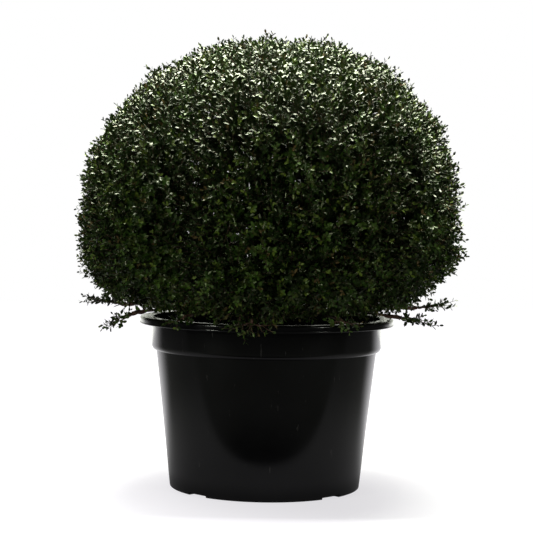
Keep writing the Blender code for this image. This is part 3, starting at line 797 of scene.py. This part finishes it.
def crown_sites(count, dice):
    """The tips of the shoots, spread evenly along a spiral from the top of the dome to its foot."""
    sites = []
    span = 1.0 - math.sin(LOWEST_SITE)
    for number in range(count):
        elevation = math.asin(1.0 - span * (number + 0.5) / count)
        azimuth = number * GOLDEN_ANGLE
        thin = openness(azimuth, elevation)
        if dice.random() < thin:
            continue
        out = Vector((math.cos(azimuth), math.sin(azimuth), 0.0)) * math.cos(elevation)
        out.z = math.sin(elevation)
        site = out * dome_reach(elevation)
        if dice.random() < INNER_SHARE:
            site *= dice.uniform(*INNER_REACH)
        tuft = TUFT_RELIEF * noise.noise(site * TUFT_SCALE)
        tuft += SHOOT_RELIEF * noise.noise(site * SHOOT_SCALE)
        tuft += STRAGGLE * thin * dice.uniform(*STRAGGLE_WAYS)
        if dice.random() < LONG_SHOOT_SHARE:
            tuft += dice.uniform(*LONG_SHOOTS)
        site += out * (tuft - SHOOT_SETBACK)
        site += Vector([dice.gauss(0.0, SHOOT_JITTER) for _ in range(3)])
        site.x += CROWN_SIDESTEP + CROWN_TOP_SHIFT * (max(0.0, site.z) / CROWN_RISE) ** 2
        sites.append(CROWN_MIDDLE + site)
    return sites


def split(sites, dice):
    """Two parts of a patch of sites, cut across its longest side along a ragged line."""
    spans = [max(s[i] for s in sites) - min(s[i] for s in sites) for i in range(3)]
    longest = spans.index(max(spans))
    blur = SPLIT_BLUR * spans[longest]
    ordered = sorted(sites, key=lambda site: site[longest] + dice.gauss(0.0, blur))
    half = max(1, int(len(ordered) * dice.uniform(*SPLIT_SHARES)))
    return ordered[:half], ordered[half:]


def grow(start, sites, share, spray_share, limbs, dice, spray=None):
    """Limbs that serve a patch of sites, added to a list as (start, end, shoots served, spray).

    A limb runs a share of the way to the middle of its patch and forks there. Each branch takes
    half of the patch, until a site has a shoot of its own. A spray is all that one small limb bears.
    """
    if spray is None and len(sites) <= SPRAY_SHOOTS:
        spray = len(limbs)
    if len(sites) == 1:
        limbs.append((start, sites[0], 1, spray))
        return
    middle = sum(sites, Vector()) / len(sites)
    fork = start.lerp(middle, share if spray is None else spray_share)
    limbs.append((start, fork, len(sites), -1 if spray is None else spray))
    for half in split(sites, dice):
        grow(fork, half, share, spray_share, limbs, dice, spray)


class Limbs:
    """Limbs as arrays: start, bend and end points, shoots served and spray numbers."""

    def __init__(self, limbs, dice):
        self.start = np.array([limb[0] for limb in limbs])
        self.end = np.array([limb[1] for limb in limbs])
        self.served = np.array([limb[2] for limb in limbs])
        self.spray = np.array([limb[3] for limb in limbs])
        self.length = np.linalg.norm(self.end - self.start, axis=1)
        sag = dice.normal(0.0, 0.5 * TWIG_BEND, self.start.shape)
        sag[:, 2] -= TWIG_BEND
        self.bend = 0.5 * (self.start + self.end) + sag * self.length[:, None]

    def part(self, mask):
        """The limbs that a mask picks out."""
        some = object.__new__(Limbs)
        for name, values in self.__dict__.items():
            setattr(some, name, values[mask])
        return some


def stored(tree, name, kind):
    """The values of a mesh's named attribute."""
    item = add_node(tree, "GeometryNodeInputNamedAttribute", {"Name": name}, data_type=kind)
    return item.outputs["Attribute"]


def twig_tree():
    """Tapering round twigs along the edges of a mesh, as thick as its points say."""
    inputs = [("Sides", "NodeSocketInt", TWIG_SIDES), ("Material", "NodeSocketMaterial", None)]
    tree, source, result = geometry_tree("twigs_along_lines", inputs)
    lines = add_node(tree, "GeometryNodeMeshToCurve", {"Mesh": source.outputs["Geometry"]})
    values = {"Radius": 1.0, "Resolution": source.outputs["Sides"]}
    ring = add_node(tree, "GeometryNodeCurvePrimitiveCircle", values)
    values = {
        "Curve": lines,
        "Profile Curve": ring,
        "Scale": stored(tree, "thickness", "FLOAT"),
        "Fill Caps": True,
    }
    tube = add_node(tree, "GeometryNodeCurveToMesh", values)
    smooth = add_node(tree, "GeometryNodeSetShadeSmooth", {"Geometry": tube})
    end_tree(tree, smooth, source, result)
    return tree


TWIG_TREE = twig_tree()


def twig_piece(name, limbs, thickest, sides, material):
    """One joined mesh of these limbs. A limb is thicker the more shoots it serves.

    Thickest is a pair, the radius of a limb and the count of shoots that such a limb serves.
    """
    root_radius, root_served = thickest
    thickening = math.log(root_radius / SHOOT_RADIUS) / math.log(root_served)
    radius = SHOOT_RADIUS * limbs.served**thickening
    tip = radius * np.where(limbs.served == 1, SHOOT_TIP, 1.0)
    count = len(radius)
    mesh = bpy.data.meshes.new(name)
    mesh.vertices.add(3 * count)
    places = np.stack([limbs.start, limbs.bend, limbs.end], axis=1)
    mesh.vertices.foreach_set("co", places.astype(np.float32).ravel())
    first = 3 * np.arange(count)
    mesh.edges.add(2 * count)
    ends = np.stack([first, first + 1, first + 1, first + 2], axis=1)
    mesh.edges.foreach_set("vertices", ends.astype(np.int32).ravel())
    thickness = mesh.attributes.new("thickness", "FLOAT", "POINT")
    widths = np.stack([radius, 0.5 * (radius + tip), tip], axis=1)
    thickness.data.foreach_set("value", widths.astype(np.float32).ravel())
    mesh.update()
    piece = new_object(name, mesh)
    built_by(piece, TWIG_TREE, {"Sides": sides, "Material": material})
    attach(piece, "root")
    return piece


def nearest_root(site, dice):
    """The bough that leads towards a site, or the trunk for the top of the dome, parted raggedly."""
    offset = site - CROWN_MIDDLE + Vector([dice.gauss(0.0, ROOT_BLUR) for _ in range(3)])
    if math.atan2(offset.z, math.hypot(offset.x, offset.y)) > STEM_SHARE:
        return "trunk"
    return max(bough_tips, key=lambda azimuth: outward(azimuth).dot(offset))


dice = random.Random(GROWTH_SEED)
fine_dice = np.random.default_rng(GROWTH_SEED)
stem_foot = trunk_axis(TRUNK_FOOT + TRUNK_HEIGHT) + Vector((0.0, 0.0, FIT_GAP))
stem_top = Vector((stem_foot.x, stem_foot.y, STEM_TOP))
stem_path = arc(stem_foot, stem_foot.lerp(stem_top, 0.5), stem_top, BOUGH_RINGS)
stem_radii = tapering(TRUNK_TIP_RADIUS, STEM_RADIUS, BOUGH_RINGS)
stem = bark_limb("crown_stem", stem_path, stem_radii, BOUGH_SIDES, BOUGH_RIDGE)
finish_limb(stem, None)
roots = {"trunk": stem_top, **bough_tips}
patches = {root: [] for root in roots}
sites = crown_sites(CROWN_SHOOTS, dice)
for fringe in FRINGES:
    sites += fringe_sites(*fringe, dice)
for site in sites:
    patches[nearest_root(site, dice)].append(site)
grown = []
for root, patch in patches.items():
    grow(roots[root], patch, FORK_SHARE, SPRAY_SHARE, grown, dice)
crown = Limbs(grown, fine_dice)
young_bark = bark_material("young_bark", TWIG_DARK, TWIG_LIGHT, TWIG_BARK_SCALE)
thickest = (BOUGH_TIP_RADIUS, CROWN_SHOOTS / len(roots))
fine_limbs = crown.part(crown.spray >= 0)
twigs = twig_piece("crown_twigs", fine_limbs, thickest, TWIG_SIDES, young_bark)
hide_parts("crown")
twig_piece("crown_branches", crown.part(crown.spray < 0), thickest, BRANCH_SIDES, old_bark)


# The leaves of the crown. Small glossy evergreen blades, folded along the midrib, stand by turns
# up every shoot. Most are dark, and the newest at the tips of the shoots are yellow-green.

LEAF_TURN = math.radians(144)
SHOOT_SPACING = 0.0035
SPRAY_SPACING = 0.0054
LEAF_LENGTHS = (0.0096, 0.0128)
TIP_LEAF_LENGTHS = (0.0062, 0.0086)
LEAF_ANGLES = (math.radians(26), math.radians(56))
LEAF_LIFT = 0.35
LEAF_TOSS = 0.16
LEAF_WIDTH = 0.47
LEAF_FOLD = 0.22
LEAF_CURL = 0.10
TIP_ZONE = 0.010
LEAF_RISE = 0.12
LEAF_TAPER = 0.58
NEARLY_UPRIGHT = 0.9
TINTS = {
    "shaded": ((0.005, 0.012, 0.002), (0.008, 0.020, 0.003)),
    "dark": ((0.008, 0.021, 0.003), (0.014, 0.035, 0.005)),
    "middle": ((0.016, 0.041, 0.005), (0.029, 0.069, 0.008)),
    "olive": ((0.030, 0.045, 0.008), (0.048, 0.068, 0.012)),
    "light": ((0.036, 0.080, 0.010), (0.064, 0.125, 0.016)),
    "young": ((0.065, 0.108, 0.012), (0.120, 0.175, 0.020)),
    "bronze": ((0.070, 0.045, 0.014), (0.120, 0.080, 0.024)),
}
TINT_SHARES = (0.22, 0.27, 0.25, 0.13, 0.13)
SPRAY_TINT_SHARE = 0.7
YOUNG_SHARE = 0.15
BRONZE_SHARE = 0.05
YOUNG_ZONE = 0.25
LEAF_BACK = (0.040, 0.062, 0.018)
LEAF_GLOSS = (0.25, 0.46)
LEAF_BACK_GLOSS = 0.55
INNER_LEAF_GROWTH = 1.8
INNER_LIMB_SHOOTS = 14
LEAF_SHINE = (0.97, 1.0, 0.70)
LEAF_MOTTLE_SCALE = 70.0
LEAF_MOTTLE_DETAIL = 2.0


def calc(tree, kind, first, second=None):
    """One step of arithmetic on one or two values."""
    values = {0: first} if second is None else {0: first, 1: second}
    return add_node(tree, "ShaderNodeMath", values, operation=kind)


def leaf_tree():
    """Leaves on the points of a mesh: each lies along leaf_way, with its face to leaf_face."""
    inputs = [
        ("Width", "NodeSocketFloat", LEAF_WIDTH),
        ("Fold", "NodeSocketFloat", LEAF_FOLD),
        ("Curl", "NodeSocketFloat", LEAF_CURL),
        ("Material", "NodeSocketMaterial", None),
    ]
    tree, source, result = geometry_tree("leaves_on_shoots", inputs)
    values = {"Size X": 1.0, "Size Y": 2.0, "Vertices X": 2, "Vertices Y": 3}
    blade = add_node(tree, "GeometryNodeMeshGrid", values)
    place = add_node(tree, "GeometryNodeInputPosition")
    parts = add_node(tree, "ShaderNodeSeparateXYZ", {"Vector": place})
    on_edge = calc(tree, "ABSOLUTE", parts.outputs["Y"])
    shorter = calc(tree, "SUBTRACT", 1.0, calc(tree, "MULTIPLY", on_edge, LEAF_TAPER))
    along = calc(tree, "ADD", calc(tree, "MULTIPLY", parts.outputs["X"], shorter), 0.5)
    half_width = calc(tree, "MULTIPLY", source.outputs["Width"], 0.5)
    across = calc(tree, "MULTIPLY", parts.outputs["Y"], half_width)
    folded = calc(tree, "MULTIPLY", on_edge, source.outputs["Fold"])
    squared = calc(tree, "POWER", along, 2.0)
    curled = calc(tree, "MULTIPLY", squared, source.outputs["Curl"])
    lift = calc(tree, "SUBTRACT", calc(tree, "MULTIPLY", folded, half_width), curled)
    spot = add_node(tree, "ShaderNodeCombineXYZ", {"X": along, "Y": across, "Z": lift})
    shaped = add_node(tree, "GeometryNodeSetPosition", {"Geometry": blade, "Position": spot})
    smooth = add_node(tree, "GeometryNodeSetShadeSmooth", {"Geometry": shaped})
    values = {"Vector": stored(tree, "leaf_way", "FLOAT_VECTOR")}
    pointed = add_node(tree, "FunctionNodeAlignRotationToVector", values, axis="X")
    values = {"Vector": stored(tree, "leaf_face", "FLOAT_VECTOR"), "Rotation": pointed}
    faced = add_node(tree, "FunctionNodeAlignRotationToVector", values, axis="Z", pivot_axis="X")
    values = {
        "Points": source.outputs["Geometry"],
        "Instance": smooth,
        "Rotation": faced,
        "Scale": stored(tree, "leaf_length", "FLOAT"),
    }
    spread = add_node(tree, "GeometryNodeInstanceOnPoints", values)
    end_tree(tree, spread, source, result)
    return tree


LEAF_TREE = leaf_tree()


def leaf_material(name, dark, light):
    """A glossy leaf, mottled a little, paler and duller on its underside."""
    material, tree, shader = new_material(name)
    face = mottled(tree, LEAF_MOTTLE_SCALE, LEAF_MOTTLE_DETAIL, dark, light)
    underside = add_node(tree, "ShaderNodeNewGeometry").outputs["Backfacing"]
    back = (*[0.5 * (a + b) for a, b in zip(LEAF_BACK, light)], 1.0)
    colour = chosen(tree, "RGBA", underside, face["Colour"], back)
    glossy, dull = LEAF_GLOSS
    polish = ramp(tree, face["Mask"], (0.0, glossy), (1.0, dull))
    gloss = chosen(tree, "FLOAT", underside, polish, LEAF_BACK_GLOSS)
    shine = (*LEAF_SHINE, 1.0)
    feed(tree, shader, {"Base Color": colour, "Roughness": gloss, "Specular Tint": shine})
    return material


leaf_finishes = {tint: leaf_material("leaf_" + tint, *pair) for tint, pair in TINTS.items()}


def unit(vectors):
    return vectors / np.linalg.norm(vectors, axis=1)[:, None]


def leaves_on(limbs, spacings, dice):
    """Places, ways, faces and lengths of the leaves that stand by turns along the limbs."""
    spacing = np.where(limbs.served == 1, *spacings)
    counts = np.maximum(1, (limbs.length / spacing).astype(int))
    limb = np.repeat(np.arange(len(counts)), counts)
    first = np.cumsum(counts) - counts
    number = np.arange(len(limb)) - first[limb]
    from_tip = number * spacing[limb]
    share = (1.0 - from_tip / limbs.length[limb])[:, None]
    start, bend, end = limbs.start[limb], limbs.bend[limb], limbs.end[limb]
    low = start + (bend - start) * np.minimum(1.0, 2.0 * share)
    high = bend + (end - bend) * np.maximum(0.0, 2.0 * share - 1.0)
    places = np.where(share < 0.5, low, high)
    way = unit(np.where(share < 0.5, bend - start, end - bend))
    upright = np.abs(way[:, 2:]) > NEARLY_UPRIGHT
    side = unit(np.cross(way, np.where(upright, [1.0, 0.0, 0.0], [0.0, 0.0, 1.0])))
    other = np.cross(way, side)
    turn = (dice.uniform(0.0, math.tau, len(counts))[limb] + number * LEAF_TURN)[:, None]
    out = side * np.cos(turn) + other * np.sin(turn)
    at_tip = np.clip(1.0 - from_tip / TIP_ZONE, 0.0, 1.0) * (limbs.served[limb] == 1)
    lean = LEAF_ANGLES[1] + (LEAF_ANGLES[0] - LEAF_ANGLES[1]) * at_tip
    lean = (lean + dice.normal(0.0, LEAF_TOSS, len(lean)))[:, None]
    leaf_way = way * np.cos(lean) + out * np.sin(lean)
    leaf_way[:, 2] += LEAF_RISE
    leaf_way = unit(leaf_way)
    face = way - leaf_way * np.sum(way * leaf_way, axis=1)[:, None]
    face = unit(face) + dice.normal(0.0, LEAF_TOSS, face.shape)
    face[:, 2] += LEAF_LIFT
    size = dice.uniform(*LEAF_LENGTHS, len(limb))
    young_size = dice.uniform(*TIP_LEAF_LENGTHS, len(limb))
    length = size + (young_size - size) * at_tip
    length *= np.where(limbs.served[limb] > INNER_LIMB_SHOOTS, INNER_LEAF_GROWTH, 1.0)
    return limb, places, leaf_way, face, length, at_tip


def tints_of(limbs, limb, at_tip, dice):
    """A tint number for each leaf, the same for most of a spray. Some shoots have young tips."""
    numbers = np.arange(len(limbs.spray))
    group = np.where(limbs.spray < 0, numbers, limbs.spray + len(numbers))
    by_spray = dice.random(group.max() + 1)[group[limb]]
    by_leaf = dice.random(len(limb))
    blend = SPRAY_TINT_SHARE * by_spray + (1.0 - SPRAY_TINT_SHARE) * by_leaf
    rank = np.argsort(np.argsort(blend)) / len(blend)
    tint = np.searchsorted(np.cumsum(TINT_SHARES)[:-1], rank)
    fresh = dice.random(len(limbs.spray))[limb]
    growing = np.where(fresh < BRONZE_SHARE, len(TINT_SHARES) + 1, len(TINT_SHARES))
    is_young = (fresh < BRONZE_SHARE + YOUNG_SHARE) & (at_tip > YOUNG_ZONE)
    return np.where(is_young, growing, tint)


def leaf_pieces(prefix, limbs, spacings, dice):
    """The leaves of these limbs, joined into one mesh for each tint."""
    limb, places, ways, faces, lengths, at_tip = leaves_on(limbs, spacings, dice)
    tints = tints_of(limbs, limb, at_tip, dice)
    columns = (
        ("leaf_way", "FLOAT_VECTOR", "vector", ways),
        ("leaf_face", "FLOAT_VECTOR", "vector", faces),
        ("leaf_length", "FLOAT", "value", lengths),
    )
    for number, tint in enumerate(TINTS):
        picked = tints == number
        if not picked.any():
            continue
        leaves = point_cloud(f"{prefix}_leaves_{tint}", places[picked])
        for name, kind, field, values in columns:
            attribute = leaves.data.attributes.new(name, kind, "POINT")
            attribute.data.foreach_set(field, values[picked].astype(np.float32).ravel())
        built_by(leaves, LEAF_TREE, {"Material": leaf_finishes[tint]})
        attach(leaves, "root")


leafy_limbs = crown.part(crown.served <= LEAFY_SHOOTS)
leaf_pieces("crown", leafy_limbs, (SHOOT_SPACING, SPRAY_SPACING), fine_dice)


# The loose sprays. Thin reddish-brown twigs with leaves set apart, which the shears have missed.
# They fork from the tips of the low boughs and spread past the rim. Some bear more shoots.

SPRAY_SITES = 9
FULL_SPRAYS = {
    "front": 12,
    "front_left": 10,
    "front_right": 12,
    "left_low": 17,
    "left_high": 15,
    "right_low": 14,
    "right_high": 13,
}
LOOSE_SPACINGS = (0.0050, 0.0070)
SPRAY_STEM = 0.016
SPRAY_START = 0.3
SPRAY_DROOP = 0.009
SPRAY_SETBACK = 0.010
SPRAY_FORK_SHARE = 0.26
SPRAY_TWIG_SIDES = 5


def spray_sites(count, sizes, dice):
    """Sites on a flat oval from just past the bough's tip to where the spray's tips reach."""
    azimuth, radius, height, reach_radius, reach_height, half_width = sizes
    near = polar(azimuth, radius + SPRAY_START * (reach_radius - radius), height)
    far = polar(azimuth, reach_radius, reach_height)
    far -= (far - near).normalized() * SPRAY_SETBACK
    middle = near.lerp(far, 0.5)
    side = outward(azimuth + 90)
    sites = []
    for number in range(count):
        spread = math.sqrt((number + 0.5) / count)
        turn = number * GOLDEN_ANGLE + math.pi
        along = (far - near) * (0.5 * spread * math.cos(turn))
        across = side * (half_width * spread * math.sin(turn))
        lift = Vector((0.0, 0.0, dice.uniform(-SPRAY_DROOP, SPRAY_DROOP)))
        sites.append(middle + along + across + lift)
    return sites


loose = []
for place, sizes in LOW_SPRAYS.items():
    azimuth, radius, height = sizes[:3]
    knee = polar(azimuth, 0.5 * radius, LOW_BOUGH_ARCH)
    foot = polar(azimuth, radius, height)
    fork = foot + (foot - knee).normalized() * SPRAY_STEM
    sites = spray_sites(FULL_SPRAYS.get(place, SPRAY_SITES), sizes, dice)
    loose.append((foot, fork, len(sites), len(loose)))
    grow(fork, sites, SPRAY_FORK_SHARE, SPRAY_FORK_SHARE, loose, dice, len(loose))
sprays = Limbs(loose, fine_dice)
thickest = (LOW_BOUGH_TIP_RADIUS, SPRAY_SITES)
spray_twigs = twig_piece("spray_twigs", sprays, thickest, SPRAY_TWIG_SIDES, young_bark)
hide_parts(*["spray_" + place for place in LOW_SPRAYS])
leaf_pieces("spray", sprays, LOOSE_SPACINGS, fine_dice)


# The studio. A white floor whose glow holds a painted shadow and painted reflections, in a white
# room, a wide soft box overhead, a small box on each side in front and a wide glow behind. The camera
# stands three metres off, level with the crown's middle.

CAMERA_PLACE = (-0.0023, -3.072, 0.558)
CAMERA_PITCH = 0.0351
CAMERA_ROLL = 0.0157
CAMERA_LENS = 101.2
CAMERA_SENSOR = 36.0
FLOOR_SIZE = 12.0
FLOOR_GREY = (0.270, 0.265, 0.280)
FLOOR_PALE = (0.290, 0.285, 0.300)
FLOOR_MOTTLE_SCALE = 3.0
FLOOR_MOTTLE_DETAIL = 2.0
FLOOR_ROUGHNESS = 0.9
FLOOR_WHITE = (0.98, 0.965, 1.0)
FLOOR_BOUNCE = (0.01, 0.01, 0.01)
FLOOR_FILL = 0.35
# A glow that only glossy rays see, for the painted reflections in the pot: a pool round its foot, with
# painted shade right at the foot, ending in front of the pot, and a wedge of glow behind
PAINTED_REFLECTION_POOL = ((0.4, 0.20), (1.1, 0.04))
PAINTED_FOOT_SHADE = ((0.20, 0.5), (0.29, 1.0))
FLOOR_FRONT = ((-0.40, 0.0), (-0.35, 1.0))
FLOOR_BACK = ((0.0, 0.0), (0.8, 1.0))
FLOOR_WEDGE_START = 0.3
FLOOR_WEDGE = ((0.58, 1.0), (1.30, 0.0))
# The glow the camera sees: a painted shadow, dimmer round a point to the right of the pot, and painted
# light that keeps the floor white in front of the pot
PAINTED_SHADOW_GLOW = ((0.30, 0.69), (0.86, 1.04))
PAINTED_FRONT_LIGHT = ((1.18, 0.0), (1.42, 1.04))
PAINTED_FRONT_LIGHT_MIDDLE = (0.10, 1.0, 0.0)
PAINTED_SHADOW_MIDDLE = (0.27, 0.05, 0.0)
LAMP_COLOUR = (0.97, 1.0, 0.88)
AMBIENT = 0.030
BACKGROUND = 1.0

# Place, height aimed at, size and power in watts of each lamp
LAMPS = {
    "soft_box": ((0.08, 0.45, 2.3), 0.5, (1.8, 1.1), 215.0),
    "left_box": ((-1.9, -1.7, 0.9), 0.45, (0.35, 0.35), 14.0),
    "right_box": ((1.9, -1.7, 1.0), 0.45, (0.35, 0.35), 10.0),
    "backdrop_glow": ((0.0, 2.6, 1.3), 0.9, (4.3, 2.6), 34.0),
}

camera_data = bpy.data.cameras.new("camera")
camera_data.lens = CAMERA_LENS
camera_data.sensor_width = CAMERA_SENSOR
camera = new_object("camera", camera_data)
camera.location = CAMERA_PLACE
camera.rotation_mode = "XYZ"
camera.rotation_euler = (0.5 * math.pi - CAMERA_PITCH, 0.0, 0.0)
bpy.context.view_layer.update()
camera.rotation_euler.rotate_axis("Z", CAMERA_ROLL)
bpy.context.scene.camera = camera


def fade(tree, source, ends):
    """A value that eases from one level to another between two distances."""
    return ramp(tree, source, *ends, "SMOOTHSTEP")


def distance(tree, place, middle):
    values = {0: place, 1: middle}
    return add_node(tree, "ShaderNodeVectorMath", values, operation="DISTANCE").outputs["Value"]


def floor_material():
    """White paper that glows a little.

    The camera sees it white, with a soft painted shadow round the pot, deepest to its right, where its
    glow is dimmer, and painted light in front of the pot. The pot mirrors a painted pool of glow round
    its foot, with painted shade right at the foot, and a painted wedge of glow behind, which only
    glossy rays see, and the plant is lit by a dimmer one.
    """
    material, tree, shader = new_material("floor")
    paper = mottled(tree, FLOOR_MOTTLE_SCALE, FLOOR_MOTTLE_DETAIL, FLOOR_GREY, FLOOR_PALE)
    ray = add_node(tree, "ShaderNodeLightPath").outputs
    seen = chosen(tree, "RGBA", ray["Is Camera Ray"], (*FLOOR_BOUNCE, 1.0), paper["Colour"])
    place = own_place(tree)
    parts = add_node(tree, "ShaderNodeSeparateXYZ", {"Vector": place})
    x, y = parts.outputs["X"], parts.outputs["Y"]
    away = distance(tree, place, (0.0, 0.0, 0.0))
    # Painted reflections: a pool of glow round the pot's foot, dimmed there as painted shade, and a
    # wedge of glow behind, both seen only by glossy rays
    foot = fade(tree, away, PAINTED_FOOT_SHADE)
    near = calc(tree, "MULTIPLY", foot, fade(tree, away, PAINTED_REFLECTION_POOL))
    pool = calc(tree, "MULTIPLY", near, fade(tree, y, FLOOR_FRONT))
    depth = calc(tree, "ADD", y, FLOOR_WEDGE_START)
    slant = calc(tree, "DIVIDE", calc(tree, "ABSOLUTE", x), depth)
    behind = fade(tree, y, FLOOR_BACK)
    wedge = calc(tree, "MULTIPLY", behind, fade(tree, slant, FLOOR_WEDGE))
    painted_reflection_glow = calc(tree, "ADD", pool, wedge)
    # Painted shadow round the pot, deepest to its right, and painted light in front of the pot, in the
    # glow that the camera sees
    painted_shadow = fade(tree, distance(tree, place, PAINTED_SHADOW_MIDDLE), PAINTED_SHADOW_GLOW)
    painted_front_light = fade(tree, distance(tree, place, PAINTED_FRONT_LIGHT_MIDDLE), PAINTED_FRONT_LIGHT)
    lit = calc(tree, "MAXIMUM", painted_shadow, painted_front_light)
    soft = chosen(tree, "FLOAT", ray["Is Diffuse Ray"], painted_reflection_glow, FLOOR_FILL)
    glow = chosen(tree, "FLOAT", ray["Is Camera Ray"], soft, lit)
    feed(tree, shader, {"Base Color": seen, "Roughness": FLOOR_ROUGHNESS})
    feed(tree, shader, {"Emission Color": (*FLOOR_WHITE, 1.0), "Emission Strength": glow})
    return material


half = 0.5 * FLOOR_SIZE
corners = [(-half, -half, 0.0), (half, -half, 0.0), (half, half, 0.0), (-half, half, 0.0)]
mesh = bpy.data.meshes.new("floor")
mesh.from_pydata(corners, [], [(0, 1, 2, 3)])
piece = new_object("floor", mesh)
mesh.materials.append(floor_material())

for name, (place, aim, size, power) in LAMPS.items():
    data = bpy.data.lights.new(name, "AREA")
    data.shape = "RECTANGLE"
    data.size, data.size_y = size
    data.energy = power
    data.color = LAMP_COLOUR
    lamp = new_object(name, data)
    lamp.location = place
    way = Vector((0.0, 0.0, aim)) - Vector(place)
    lamp.rotation_euler = way.to_track_quat("-Z", "Y").to_euler()
    lamp.visible_camera = False

world = bpy.data.worlds.new("studio")
bpy.context.scene.world = world
world.use_nodes = True
air = world.node_tree
air.nodes.clear()
ray = add_node(air, "ShaderNodeLightPath")
pure_white = (1.0, 1.0, 1.0, 1.0)
dim = add_node(air, "ShaderNodeBackground", {"Color": pure_white, "Strength": AMBIENT})
white = add_node(air, "ShaderNodeBackground", {"Color": pure_white, "Strength": BACKGROUND})
values = {"Fac": ray.outputs["Is Camera Ray"], 1: dim, 2: white}
choose = add_node(air, "ShaderNodeMixShader", values)
add_node(air, "ShaderNodeOutputWorld", {"Surface": choose})
